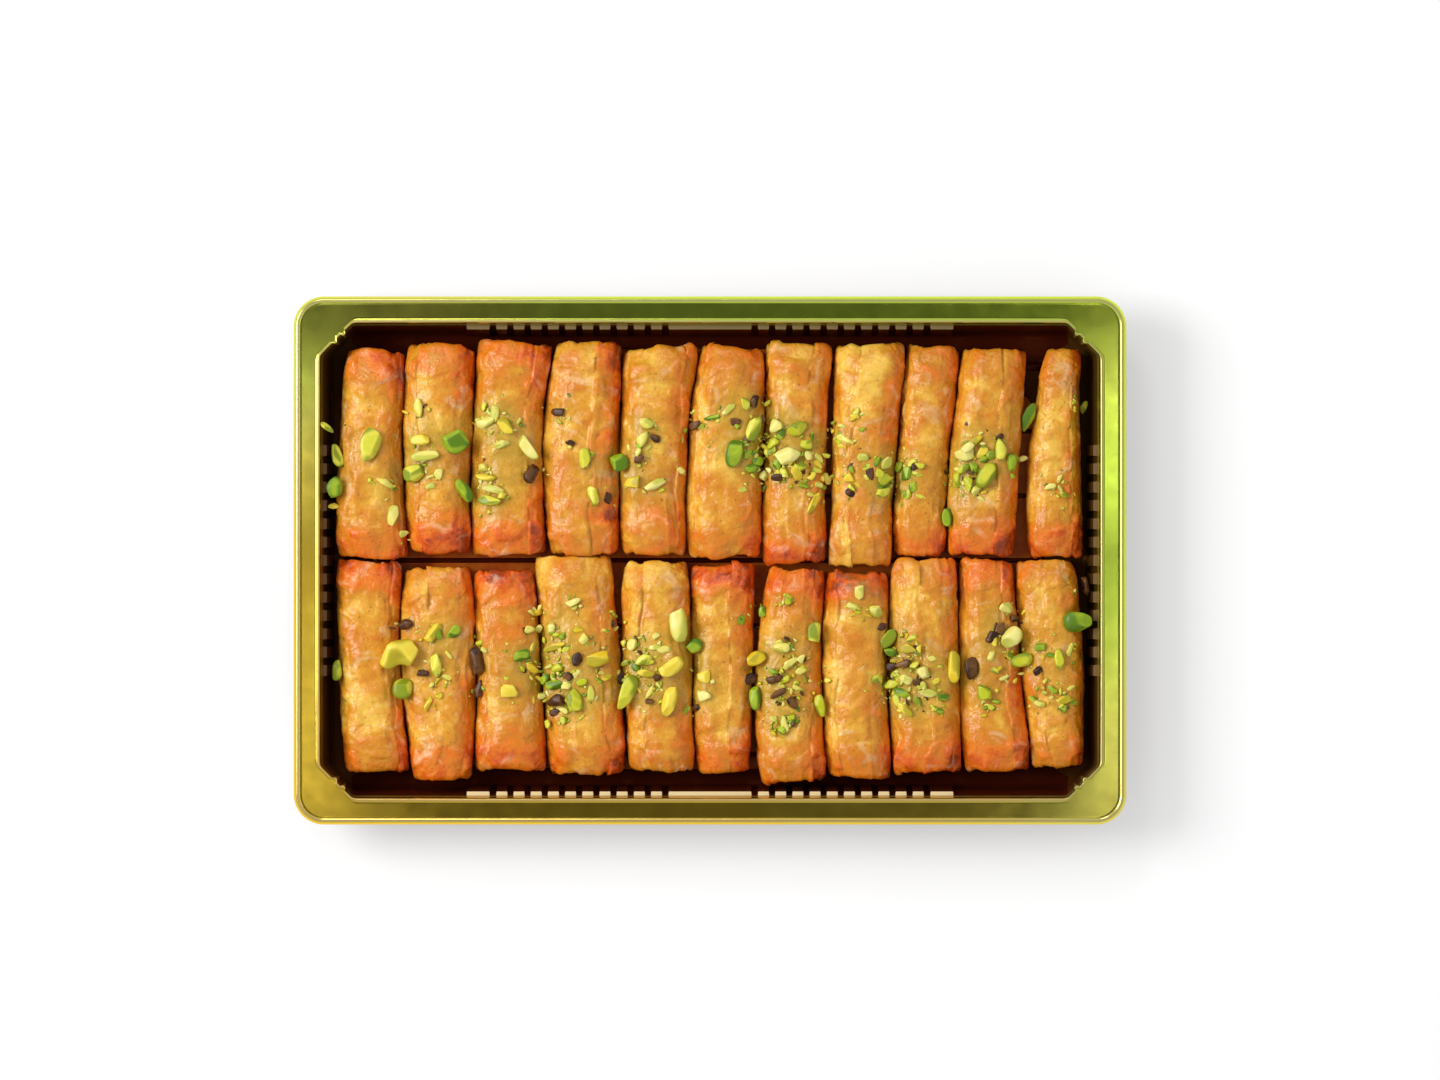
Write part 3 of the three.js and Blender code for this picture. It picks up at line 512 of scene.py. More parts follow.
@dataclass(frozen=True)
class PistachioFinish:
    """Chopped pistachio, moist with syrup.

    The nut's outer face is one dull colour. The flesh of a cut is veined and paler at its rim.
    """

    name: str
    flesh: str
    pale: str
    outer: str
    vein_size: float = 1.1
    vein_share: float = 0.7
    vein_height: float = 0.08
    rim_share: float = 0.5
    mottle_offset: float = 0.55
    roughness: float = 0.4
    specular: float = 0.3
    depth_share: float = 0.12
    depth: float = 1.0
    depth_colour: tuple[float, float, float] = (1.0, 0.9, 0.3)
    syrup_coat: float = 0.18
    syrup_roughness: float = 0.15
    syrup_ior: float = 1.47

    def material(self) -> bpy.types.Material:
        """Makes the material, which reads the attributes cut, rim and shade.

        Returns:
            The material.
        """
        material, tree = new_material(self.name)
        place = add_node(tree, "ShaderNodeTexCoord").outputs["Object"]
        cut, rim, shade = (add_node(tree, "ShaderNodeAttribute", attribute_name=name).outputs["Fac"]
                           for name in ("cut", "rim", "shade"))
        veins = add_node(tree, "ShaderNodeTexNoise",
                         {"Vector": place, "Scale": per(self.vein_size), "Detail": 3.0}).outputs["Fac"]
        mottle = shade
        for pattern, share in ((veins, self.vein_share), (rim, self.rim_share)):
            mottle = add_node(tree, "ShaderNodeMath", {0: pattern, 1: share, 2: mottle},
                              operation="MULTIPLY_ADD").outputs[0]
        mottle = add_node(tree, "ShaderNodeMath", {0: mottle, 1: self.mottle_offset},
                          operation="SUBTRACT", use_clamp=True).outputs[0]
        flesh = add_node(tree, "ShaderNodeMix", {
            "Factor": mottle, 6: linear(self.flesh), 7: linear(self.pale)}, data_type="RGBA").outputs[2]
        colour = add_node(tree, "ShaderNodeMix", {"Factor": cut, 6: linear(self.outer), 7: flesh},
                          data_type="RGBA").outputs[2]
        relief = add_node(tree, "ShaderNodeBump", {
            "Height": veins, "Strength": 1.0, "Distance": self.vein_height * MM}).outputs["Normal"]
        shader = add_node(tree, "ShaderNodeBsdfPrincipled", {
            "Base Color": colour, "Roughness": self.roughness, "Normal": relief,
            "Subsurface Weight": self.depth_share, "Subsurface Radius": self.depth_colour,
            "Subsurface Scale": self.depth * MM, "Specular IOR Level": self.specular,
            "Coat Weight": self.syrup_coat, "Coat Roughness": self.syrup_roughness,
            "Coat IOR": self.syrup_ior})
        add_node(tree, "ShaderNodeOutputMaterial", {"Surface": shader.outputs[0]})
        return material


@dataclass(frozen=True)
class SyrupFinish:
    """Sugar syrup that has run down to the tray's floor: clear, dark amber over the black plastic."""

    amber: str = "#f08a1e"
    umber: str = "#a83c0a"
    swirl_size: float = 3.5
    roughness: float = 0.34
    ior: float = 1.47
    specular: float = 0.2

    def material(self) -> bpy.types.Material:
        """Makes the material, whose colour swirls between the two ambers.

        Returns:
            The material.
        """
        material, tree = new_material("syrup")
        place = add_node(tree, "ShaderNodeTexCoord").outputs["Object"]
        thick = add_node(tree, "ShaderNodeTexNoise",
                         {"Vector": place, "Scale": per(self.swirl_size), "Detail": 2.0}).outputs["Fac"]
        colour = add_node(tree, "ShaderNodeMix", {
            "Factor": thick, 6: linear(self.umber), 7: linear(self.amber)}, data_type="RGBA").outputs[2]
        shader = add_node(tree, "ShaderNodeBsdfPrincipled", {
            "Base Color": colour, "Roughness": self.roughness, "IOR": self.ior,
            "Specular IOR Level": self.specular})
        add_node(tree, "ShaderNodeOutputMaterial", {"Surface": shader.outputs[0]})
        return material


class Nut(Enum):
    """The looks of a pistachio piece."""

    LIME = PistachioFinish("pistachio_lime", "#bcc012", "#e9dd52", "#869416")
    GREEN = PistachioFinish("pistachio_green", "#84a012", "#b0c42c", "#587a0c")
    CREAM = PistachioFinish("pistachio_cream", "#dfd04e", "#f0e68e", "#c3c24c")
    YELLOW = PistachioFinish("pistachio_yellow", "#e0bd12", "#f2db50", "#b5a31a")
    # Dark brown skin flakes; those set at the clusters' dark spots are partly painted shadow.
    SKIN = PistachioFinish("pistachio_skin_and_shadow", "#4a260e", "#7a5226", "#34180a", syrup_coat=0.05)


# Tray

class Film(Enum):
    """Where a row of the tray's section carries the gold film."""

    NONE = 0
    RIM = 1
    LEDGE = 2
    WALL = 3


@dataclass
class Tray:
    """The formed sheet: turned-down edge, flange, bead, ribbed walls and ridged floor.

    The gold film covers the rim, and there is a trace of it on the ribs' ledges and the short walls.
    The ledges and the bead carry painted highlights, the near ledges most of all.
    """

    length: float = 218.0
    width: float = 138.3
    corner_radius: float = 8.0
    chamfer_leg: float = 8.7
    chamfer_inset: float = 6.9
    chamfer_leg_loss: float = 1.1
    last_round_inset: float = 3.4
    floor_top: float = 1.0
    # Pairs of inset from the outer edge and height, first along the underside and then over the top.
    under: tuple[tuple[float, float], ...] = (
        (11.9, 0.0), (10.2, 0.2), (8.8, 1.8), (6.5, 18.3), (1.6, 18.6), (0.9, 18.0), (0.8, 15.0))
    wall_top: tuple[float, float] = (7.1, 18.9)
    wall_foot: tuple[float, float] = (9.4, 2.6)
    upper: tuple[tuple[float, float], ...] = (
        (0.0, 15.0), (0.1, 18.3), (0.6, 19.2), (1.2, 19.5), (1.8, 19.2), (2.9, 19.2), (5.0, 19.2),
        (6.1, 19.2), (6.35, 19.7), (6.8, 19.7), wall_top, wall_foot, (10.2, 1.4), (11.6, 1.0))
    edge_round: float = 0.45
    round_points: int = 5
    most_of_side: float = 0.45
    corner_points: int = 57
    corner_run: float = 0.2
    corner_ease: float = 0.004
    lug_places: tuple[float, float] = (0.45, 0.69)
    lug_reach: float = 0.06
    lug_depth: float = 0.8
    lug_foot: float = 14.0
    lug_lead: float = 1.5
    rib_top: float = 15.0
    rib_foot: float = 3.4
    rib_proud: float = 1.0
    rib_width: float = 2.9
    rib_slope: float = 0.2
    long_rib_pitch: float = 4.5
    long_rib_start: float = 14.0
    long_ribs_each_way: int = 10
    middle_rib_width: float = 21.7
    end_rib_width: float = 6.0
    end_rib_place: float = 60.7
    short_rib_pitch: float = 4.8
    short_ribs: int = 13
    gilt_foot: float = 18.4
    ledge: float = 0.12
    lip_painted_highlight: float = 0.35
    lip_foot: float = 19.3
    near_painted_highlight: float = 0.95
    far_painted_highlight: float = 0.22
    short_painted_highlight: float = 0.14
    ledge_gilt: float = 0.1
    short_ledge_gilt: float = 0.02
    short_wall_gilt: float = 0.04
    crease: float = 50.0
    ridge_height: float = 0.5
    ridge_width: float = 2.4
    ridge_points: int = 11
    ridge_fullness: float = 0.8
    ridge_length: float = 176.0
    ridge_pitch: float = 17.0
    ridges: int = 7

    def long_ribs(self) -> list[tuple[float, float]]:
        """Lists the ribs of a long wall.

        Returns:
            The place and width of each rib, from right to left.
        """
        ribs = [(0.0, self.middle_rib_width)]
        for side in (-1, 1):
            ribs.append((side * self.end_rib_place, self.end_rib_width))
            ribs += [(side * (self.long_rib_start + i * self.long_rib_pitch), self.rib_width)
                     for i in range(self.long_ribs_each_way)]
        return sorted(ribs, reverse=True)

    def short_wall_ribs(self) -> list[tuple[float, float]]:
        """Lists the place and width of each rib on a short wall."""
        middle = (self.short_ribs - 1) / 2
        return [((middle - i) * self.short_rib_pitch, self.rib_width) for i in range(self.short_ribs)]

    def stations(self, ribs: list[tuple[float, float]]) -> Array:
        """Lists the places along a straight side where the rings have points: at each rib's flanks."""
        offsets = (1.0, -1.0)
        return np.array([place + side * width / 2 + slope * self.rib_slope / 2
                         for place, width in ribs for side in offsets for slope in offsets])

    def rib_share(self, places: Array, ribs: list[tuple[float, float]]) -> Array:
        """Gives 1 on a rib, 0 between ribs and a straight slope on the ribs' flanks.

        Args:
            places: distances along a wall.
            ribs: the place and width of each rib.

        Returns:
            One share a place.
        """
        share = np.zeros_like(places)
        for place, width in ribs:
            inside = (width / 2 + self.rib_slope / 2 - np.abs(places - place)) / self.rib_slope
            share = np.maximum(share, np.clip(inside, 0.0, 1.0))
        return share

    def filleted(self, section: tuple) -> Array:
        """Rounds each corner of a section by a short parabola between points on its two sides.

        Args:
            section: pairs of inset and height.

        Returns:
            The pairs of the rounded section.
        """
        points = np.array(section)
        steps = np.linspace(0.0, 1.0, self.round_points)[:, None]
        rows = [points[:1]]
        for before, corner, after in zip(points, points[1:], points[2:]):
            ends = []
            for side in (before - corner, after - corner):
                long = np.linalg.norm(side)
                ends.append(corner + side / long * min(self.edge_round, self.most_of_side * long))
            rows.append((1 - steps) ** 2 * ends[0] + 2 * steps * (1 - steps) * corner
                        + steps ** 2 * ends[1])
        rows.append(points[-1:])
        return np.concatenate(rows)

    def wall_inset(self, height: Any) -> Any:
        """Gives the inset of the inner wall at a height, which falls in a straight line."""
        (top_inset, top_height), (foot_inset, foot_height) = self.wall_top, self.wall_foot
        return mix(top_inset, foot_inset, (top_height - height) / (top_height - foot_height))

    def wall_height(self, inset: Any) -> Any:
        """Gives the height of the inner wall at an inset."""
        (top_inset, top_height), (foot_inset, foot_height) = self.wall_top, self.wall_foot
        return mix(top_height, foot_height, (inset - top_inset) / (foot_inset - top_inset))

    def section(self) -> tuple[Array, Array, Array]:
        """Works out the rows of the section.

        Returns:
            Inset and height of each row, which rows are drawn in to the ribs' faces, and the film
            that each row carries.
        """
        upper = self.filleted(self.upper)
        heights = np.array([self.rib_top + 2 * self.ledge, self.rib_top + self.ledge, self.rib_top,
                            self.rib_top - self.ledge, self.rib_foot, self.rib_foot - self.ledge])
        rib_rows = np.stack([self.wall_inset(heights), heights], axis=-1)
        above_ribs = (upper[:, 0] > self.chamfer_inset) & (upper[:, 1] > self.rib_top + 1)
        wall_start = np.nonzero(above_ribs)[0][-1] + 1
        upper = np.concatenate([upper[:wall_start], rib_rows, upper[wall_start:]])
        under = self.filleted(self.under)
        rows = np.concatenate([under, upper])
        is_upper = np.arange(len(rows)) >= len(under)
        inside = is_upper & (rows[:, 0] > self.chamfer_inset)
        on_rib = inside & (rows[:, 1] <= self.rib_top + 1e-6) & (rows[:, 1] >= self.rib_foot - 1e-6)
        film = np.full(len(rows), Film.NONE)
        film[inside] = Film.WALL
        film[is_upper & ((rows[:, 1] > self.gilt_foot) | (rows[:, 0] < self.last_round_inset))] = Film.RIM
        film[inside & (np.abs(rows[:, 1] - self.rib_top - self.ledge / 2) < self.ledge)] = Film.LEDGE
        return rows, on_rib, film

    def eased(self, value: Array) -> Array:
        """Gives a value above 0 and 0 below it, with the bend rounded: half of v + root(v² + ease)."""
        return (value + np.sqrt(value ** 2 + self.corner_ease)) / 2

    def corner(self, inset: float, height: float) -> Array:
        """Gives the corner in the quadrant of +X and +Y, from the short side to the long one.

        The rows out to last_round_inset turn on a quarter circle. The others run along a straight
        chamfer whose ends are eased, and two small lugs stand out from it near the top.

        Args:
            inset: how far the row lies inside the outer edge.
            height: its height.

        Returns:
            The corner's points in plan.
        """
        x, y = self.length / 2 - inset, self.width / 2 - inset
        step = np.linspace(-self.corner_run, 1 + self.corner_run, self.corner_points)
        if inset <= self.last_round_inset:
            angle = np.linspace(0.0, np.pi / 2, self.corner_points)
            radius = self.corner_radius - inset
            return np.stack([x - radius * (1 - np.cos(angle)), y - radius * (1 - np.sin(angle))], axis=-1)
        leg = self.chamfer_leg - self.chamfer_leg_loss * (inset - self.chamfer_inset)
        push = np.zeros_like(step)
        if height > self.lug_foot and inset > self.chamfer_inset - self.lug_lead:
            for place in self.lug_places:
                dome = np.clip(1 - ((step - place) / self.lug_reach) ** 2, 0.0, 1.0)
                push += self.lug_depth * np.sqrt(0.5) * np.sqrt(dome)
        return np.stack([x - self.eased(step) * leg - push, y - self.eased(1 - step) * leg - push], axis=-1)

    def ring(self, inset: float, height: float, drawn_in: bool, film: Film) -> tuple[Array, Array, Array]:
        """Works out one closed ring of the tray, anticlockwise from above.

        Args:
            inset: how far the ring lies inside the outer edge.
            height: its height.
            drawn_in: whether the ribs' faces stand proud at this row.
            film: gold all round for the rim, a trace on the ribs only for a ledge, and a trace on
                the short sides for the wall.

        Returns:
            The ring's points, how golden each is and how much painted highlight it carries. Ledges
            carry painted highlight by the side that they are on, and the bead and the top of the edge all
            round.
        """
        corner = self.corner(inset, height)
        long_ribs, short_ribs = self.long_ribs(), self.short_wall_ribs()
        long_places, short_places = self.stations(long_ribs), self.stations(short_ribs)
        long_share = self.rib_share(long_places, long_ribs)
        short_share = self.rib_share(short_places, short_ribs)
        proud = self.rib_proud if drawn_in else 0.0
        long_side = np.stack([long_places, self.width / 2 - inset - proud * long_share], axis=-1)
        short_side = np.stack([self.length / 2 - inset - proud * short_share, short_places], axis=-1)
        bare = np.zeros(len(corner))
        flip_x, flip_y = np.array([-1, 1]), np.array([1, -1])
        plan = np.concatenate([
            corner, long_side, corner[::-1] * flip_x, short_side * flip_x, corner * -1,
            (long_side * flip_y)[::-1], corner[::-1] * flip_y, short_side[::-1]])
        share = np.concatenate([
            bare, long_share, bare, short_share, bare, long_share[::-1], bare, short_share[::-1]])
        from_middle = np.abs(plan)
        on_short = (from_middle[:, 0] > self.width / 2) & (from_middle[:, 1] < self.width / 2 - inset - 0.5)
        ledge_gilt = np.where(on_short, self.short_ledge_gilt, self.ledge_gilt)
        gilt = {Film.NONE: np.zeros_like(share), Film.RIM: np.ones_like(share),
                Film.LEDGE: ledge_gilt * share, Film.WALL: self.short_wall_gilt * on_short}[film]
        # Painted highlights: ledges are paled by the side they are on, the near ones most, and the top of
        # the edge all round.
        long_painted_highlight = np.where(plan[:, 1] < 0, self.near_painted_highlight, self.far_painted_highlight)
        painted_highlight = np.where(on_short, self.short_painted_highlight, long_painted_highlight) * share * (film == Film.LEDGE)
        painted_highlight += self.lip_painted_highlight * (film == Film.RIM and height > self.lip_foot)
        return np.column_stack([plan, np.full(len(plan), height)]), gilt * (1 - painted_highlight), painted_highlight

    def shell(self) -> Skin:
        """Makes the sheet as one skin, from the middle of the base over the rim to the floor.

        Returns:
            The closed surface with the attributes gilt and painted_highlight.
        """
        rows, on_rib, film = self.section()
        rings = [self.ring(*row, drawn_in, kind) for row, drawn_in, kind in zip(rows, on_rib, film)]
        points, gilt, painted_highlight = (np.stack(part) for part in zip(*rings))
        poles = np.array([[0.0, 0.0, 0.0], [0.0, 0.0, self.floor_top]])
        return ring_skin(points, poles, {"gilt": gilt, "painted_highlight": painted_highlight}, {"gilt": 0.0, "painted_highlight": 0.0})

    def ridge(self, centre: float) -> Skin:
        """Makes one floor ridge: half a cosine wave across, to a power, with ends that run out low.

        Args:
            centre: its place in y.

        Returns:
            The closed surface.
        """
        across = np.linspace(-1.0, 1.0, self.ridge_points)
        along = np.array([-1.0, -0.99, -0.97, 0.97, 0.99, 1.0])
        taper = np.array([0.2, 0.8, 1.0, 1.0, 0.8, 0.2])[:, None]
        rise = np.cos(across * np.pi / 2) ** self.ridge_fullness
        top = self.floor_top + self.ridge_height * rise * taper
        base = self.floor_top - self.ridge_height
        x = np.broadcast_to(along[:, None] * self.ridge_length / 2, top.shape)
        y = np.broadcast_to(centre + across * self.ridge_width / 2, top.shape)
        upper = np.stack([x, y, top], axis=-1)
        lower = np.stack([x, y, np.full_like(top, base)], axis=-1)[:, ::-1]
        points = np.concatenate([upper, lower], axis=1)
        poles = np.array([[side * self.ridge_length / 2, centre, self.floor_top - 0.1] for side in (-1, 1)])
        zero = np.zeros(points.shape[:2])
        skin = ring_skin(points, poles, {"gilt": zero, "painted_highlight": zero}, {"gilt": 0.0, "painted_highlight": 0.0})
        return Skin(skin.points, skin.faces[:, ::-1], skin.values)

    def build(self) -> None:
        """Makes the tray's piece."""
        centres = [(i - (self.ridges - 1) / 2) * self.ridge_pitch for i in range(self.ridges)]
        skin = Skin.joined([self.shell()] + [self.ridge(centre) for centre in centres])
        add_piece("tray_shell", skin, GiltPlastic().material(), ("tray",), self.crease)


# Fingers

FAR_LINES = (55.5, 1.5)
NEAR_LINES = (-1.5, -55.5)


@dataclass(frozen=True)
class Finger:
    """One rolled finger.

    left and right are its edges in x at its row's far line, middle line and near line, and y and
    slant are given at its two ends. seam is the angle of the wrap's outer edge from +X, in degrees.
    bake is how brown the far end, the middle and the near end are, and mark how clearly the seam
    shows: 0 is not at all, 1 is plainly, and a little above 1 is more than on most.
    """

    left: tuple[float, float, float]
    right: tuple[float, float, float]
    y: tuple[float, float]
    slant: tuple[float, float]
    seam: float
    bake: tuple[float, float, float]
    mark: float = 0.3

    @property
    def width(self) -> float:
        """The width across the middle."""
        return self.right[1] - self.left[1]

    @property
    def lines(self) -> tuple[float, float]:
        """The far and the near line of its row, in y."""
        return FAR_LINES if sum(self.y) > 0 else NEAR_LINES


@dataclass(frozen=True)
class Stations:
    """A finger's axis and half sizes at places along it."""

    x: Array
    y: Array
    half: Array
    height: Array
    slant: Array


FAR_ROW = (
    Finger((-95.4, -97.5, -98.0), (-79.5, -80.5, -78.9), (54.8, 1.2), (-1.3, -0.4), 38, (0.8, 0.34, 0.76)),
    Finger((-79.5, -80.5, -78.9), (-61.2, -62.5, -62.7), (55.8, 2.5), (-1.5, -0.8), 118, (0.5, 0.36, 0.8)),
    Finger((-61.2, -62.5, -62.7), (-41.0, -43.9, -42.3), (57.1, 1.9), (-1.8, 0.4), 64, (0.72, 0.4, 0.8)),
    Finger((-41.0, -43.9, -42.3), (-22.7, -23.8, -23.3), (56.9, 1.9), (-0.4, 0.5), 84, (0.42, 0.42, 0.55),
           1.4),
    Finger((-22.7, -23.8, -23.3), (-2.6, -6.0, -6.0), (55.5, 2.0), (0.9, -0.5), 52, (0.36, 0.38, 0.52)),
    Finger((-2.6, -6.0, -6.0), (14.4, 14.1, 13.3), (55.5, 1.3), (-1.0, 0.3), 132, (0.56, 0.28, 0.6)),
    Finger((14.4, 14.1, 13.3), (32.4, 30.4, 30.8), (56.6, -0.2), (-0.6, 0.6), 70, (0.4, 0.35, 0.8)),
    Finger((32.4, 32.0, 30.8), (51.5, 48.9, 47.8), (56.3, -1.2), (0.4, 0.7), 104, (0.22, 0.36, 0.42)),
    Finger((51.5, 48.9, 47.8), (65.9, 63.0, 61.7), (55.8, 2.2), (-1.1, 0.2), 140, (0.52, 0.32, 0.66)),
    Finger((65.9, 63.0, 61.7), (83.6, 81.3, 80.0), (55.0, 1.9), (-0.3, -0.6), 76, (0.45, 0.34, 0.78), 0.9),
    Finger((88.1, 83.6, 83.4), (97.4, 97.2, 98.0), (55.0, 1.2), (0.2, 0.6), 58, (0.52, 0.32, 0.85)),
)
NEAR_ROW = (
    Finger((-98.0, -97.5, -95.7), (-80.5, -81.0, -78.4), (-0.3, -55.2), (-1.2, -0.3), 46,
           (0.85, 0.3, 0.65)),
    Finger((-80.5, -81.0, -78.4), (-62.5, -61.4, -62.0), (-2.2, -57.2), (0.8, 0.4), 96, (0.45, 0.36, 0.76)),
    Finger((-62.5, -61.4, -62.0), (-46.0, -44.2, -42.6), (-3.0, -54.8), (0.6, -0.3), 128,
           (0.85, 0.4, 0.75)),
    Finger((-46.0, -44.2, -42.6), (-25.6, -23.3, -22.0), (0.8, -55.6), (0.3, 0.5), 62, (0.2, 0.34, 0.65)),
    Finger((-23.0, -23.0, -21.2), (-5.5, -4.7, -3.9), (-0.8, -54.8), (0.5, -0.4), 110, (0.22, 0.36, 0.48)),
    Finger((-5.5, -4.7, -3.9), (12.3, 11.0, 11.0), (-1.4, -55.3), (1.0, 0.3), 80, (0.86, 0.3, 0.7)),
    Finger((15.4, 11.8, 12.8), (30.6, 29.3, 30.6), (-2.7, -57.6), (-0.5, 1.3), 54, (0.75, 0.38, 0.6)),
    Finger((30.6, 29.3, 30.6), (47.1, 46.8, 47.6), (-3.3, -56.7), (-0.9, -0.4), 122, (1.06, 0.22, 0.65)),
    Finger((47.1, 46.8, 47.6), (65.1, 65.3, 66.4), (-0.3, -55.4), (0.4, 0.6), 90, (0.4, 0.32, 0.78)),
    Finger((65.1, 65.3, 66.4), (79.7, 81.6, 84.4), (-0.1, -54.8), (-0.7, 0.4), 66, (0.72, 0.42, 0.85)),
    Finger((79.7, 81.6, 84.4), (95.9, 98.0, 98.0), (-0.2, -53.7), (0.5, 0.9), 100, (0.42, 0.34, 0.55)),
)


@dataclass(frozen=True)
class Wave:
    """A wave in a finger's sides: radians along it, height, and radians for a degree of its seam."""

    run: float
    height: float
    shift: float


@dataclass(frozen=True)
class Pattern:
    """A noise pattern on a finger: its cells' size along and around, what it adds to the seed, and
    between which values its patches rise."""

    cell: tuple[float, float]
    step: int
    low: float = -1.0
    high: float = 1.0

    def at(self, places: Array, seed: int) -> Array:
        """Gives the pattern's values, from -1 to 1, at distances along and around."""
        return noise(places, self.cell, seed + self.step)

    def patches(self, places: Array, seed: int) -> Array:
        """Gives 0 between the pattern's patches and 1 on them."""
        return smooth_step(self.low, self.high, self.at(places, seed))


@dataclass
class Fingers:
    """The two rows of rolled filo, each finger a spiral of thin sheet with folded-in ends."""

    floor: float = 1.8
    height_to_width: float = 0.9
    least_height: float = 13.6
    most_height: float = 15.8
    upper_share: float = 0.56
    top_roundness: float = 0.74
    base_roundness: float = 0.7
    seam_step: float = 0.04
    soft_seam: float = 0.09
    crisp_seam: float = 0.004
    last_wind: float = 0.9985
    gap: float = -0.45
    flap_length: float = 7.5
    end_round: float = 1.0
    end_scale: float = 0.92
    end_dimple: float = 0.7
    end_sink: float = 0.84
    end_taper: float = 0.5
    waves: tuple[Wave, ...] = (Wave(7.3, 0.14, 0.05), Wave(15.1, 0.084, 0.115))
    body_rings: int = 124
    round_rings: int = 5
    face_rings: int = 14
    top_sides: int = 100
    base_sides: int = 26
    base_dip: float = 25.0
    lip_height: float = 0.16
    lip_reach: float = 1.6
    lip_sway: float = 7.0
    flap_step: float = 0.32
    flap_sway: float = 1.8
    blister_height: float = 0.62
    wrinkle_height: float = 0.3
    dent_depth: float = 0.6
    layer_pitch: float = 1.7
    layer_depth: float = 0.45
    layer_sharpness: float = 0.6
    ragged: float = 0.42
    corner_blend: float = 3.0
    end_shift: float = 30.0
    finger_shift: float = 70.0
    sag: float = 0.25
    least_lift: float = 0.3
    turned_up: tuple[float, float] = (-0.1, 0.6)
    turned_aside: tuple[float, float] = (0.85, 0.4)
    small_blister_share: float = 0.55
    grain_share: float = 0.25
    long_fold_power: int = 5
    cross_fold_power: int = 6
    flap_blend: float = 0.35
    slantwise: tuple[float, float] = (0.45, 0.35)
    blisters: Pattern = Pattern((5.4, 4.6), 0, -0.1, 0.8)
    small_blisters: Pattern = Pattern((2.8, 2.5), 1, 0.0, 0.8)
    fold_areas: Pattern = Pattern((11.0, 8.0), 2, -0.3, 0.5)
    long_folds: Pattern = Pattern((13.0, 2.1), 3)
    cross_folds: Pattern = Pattern((2.6, 9.0), 4)
    grain: Pattern = Pattern((1.5, 1.3), 5)
    flap_edge: Pattern = Pattern((40.0, 4.5), 6)
    lip_line: Pattern = Pattern((9.0, 1.0), 7)
    ragged_edge: Pattern = Pattern((5.0, 3.2), 8)
    brown_patches: Pattern = Pattern((9.0, 6.0), 9)
    brown_spots: Pattern = Pattern((3.0, 3.4), 10)
    seam_shown: Pattern = Pattern((14.0, 1.0), 11, -0.1, 0.5)
    dents: Pattern = Pattern((6.5, 16.0), 12, -0.1, 0.7)
    end_brown_reach: tuple[float, float] = (13.0, 2.5)
    end_brown_sway: float = 3.0
    end_brown: float = 0.8
    flap_brown: float = 0.2
    patch_brown: float = 0.16
    spot_brown: float = 0.1
    blister_brown: float = 0.08
    brown_offset: float = 0.12
    seam_brown: float = 0.22
    # Painted shade: how much browner the side turned to +X, away from the key light, is painted.
    right_painted_shade: float = 0.3
    most_baked: float = 0.93
    pole_baked: float = 0.6
    dust_share: float = 0.5
    dust_reach: float = 5.8
    seed: int = 300

    def stations(self, finger: Finger, share: Array) -> Stations:
        """Works out the axis and half sizes at shares of the length from the far end.

        The edges follow parabolas along the row, sine waves draw the sides in, and the ends sink.

        Args:
            finger: the finger.
            share: how far along, from 0 to 1.

        Returns:
            The axis and half sizes there.
        """
        y = mix(*finger.y, share)
        slant = mix(*finger.slant, share)
        far, near = finger.lines
        left = through(finger.left, (far - y + slant / 2) / (far - near))
        right = through(finger.right, (far - y - slant / 2) / (far - near))
        full = np.clip(finger.width * self.height_to_width, self.least_height, self.most_height)
        wave = sum(wave.height * np.sin(wave.run * share + wave.shift * finger.seam) for wave in self.waves)
        peak = sum(wave.height for wave in self.waves)
        from_end = np.minimum(share, 1 - share) * (finger.y[0] - finger.y[1])
        closing = np.sin(np.clip(from_end / self.flap_length, 0.0, 1.0) * np.pi / 2)
        return Stations(
            x=(left + right) / 2, y=y,
            half=(right - left) / 2 - self.gap / 2 - peak + wave - mix(self.end_taper, 0.0, closing),
            height=full * mix(self.end_sink, 1.0, closing) + wave / 2, slant=slant)

    def top(self, finger: Finger, x: Array, y: Array) -> Array:
        """Gives the height of a finger's top at points in plan.

        Args:
            finger: the finger.
            x: the points' x.
            y: the points' y.

        Returns:
            The heights, and 0 where the finger isn't under the point.
        """
        share = (finger.y[0] - y) / (finger.y[0] - finger.y[1])
        at = self.stations(finger, np.clip(share, 0.0, 1.0))
        ratio = np.abs(x - at.x) / at.half
        inside = (share >= 0) & (share <= 1) & (ratio < 1)
        rise = (1 - np.minimum(ratio, 1.0) ** (2 / self.top_roundness)) ** (self.top_roundness / 2)
        return np.where(inside, self.floor + at.height * mix(1 - self.upper_share, 1.0, rise), 0.0)

    def profile(self, length: float) -> tuple[Array, Array, Array]:
        """Works out the rings from the middle of the far end to the middle of the near end.

        The flat of each end widens in even steps, a quarter round turns it into the side, and the
        side runs in even steps to the other end.

        Args:
            length: the finger's length.

        Returns:
            Each ring's distance from the far end, its size as a share of the full section, and how
            far into the end face it lies, from 0 on the side to 1 in the middle.
        """
        turn = np.linspace(0.0, np.pi / 2, self.round_rings)
        inward = np.linspace(0.0, 1.0, self.face_rings + 1)[1:-1][::-1]
        start = np.concatenate([np.zeros(len(inward)), self.end_round * (1 - np.cos(turn))])
        size = np.concatenate([self.end_scale * (1 - inward), mix(self.end_scale, 1.0, np.sin(turn))])
        depth = np.concatenate([inward, np.zeros(len(turn))])
        body = np.linspace(self.end_round, length - self.end_round, self.body_rings + 2)[1:-1]
        along = np.concatenate([start, body, length - start[::-1]])
        return (along, np.concatenate([size, np.ones(len(body)), size[::-1]]),
                np.concatenate([depth, np.zeros(len(body)), depth[::-1]]))

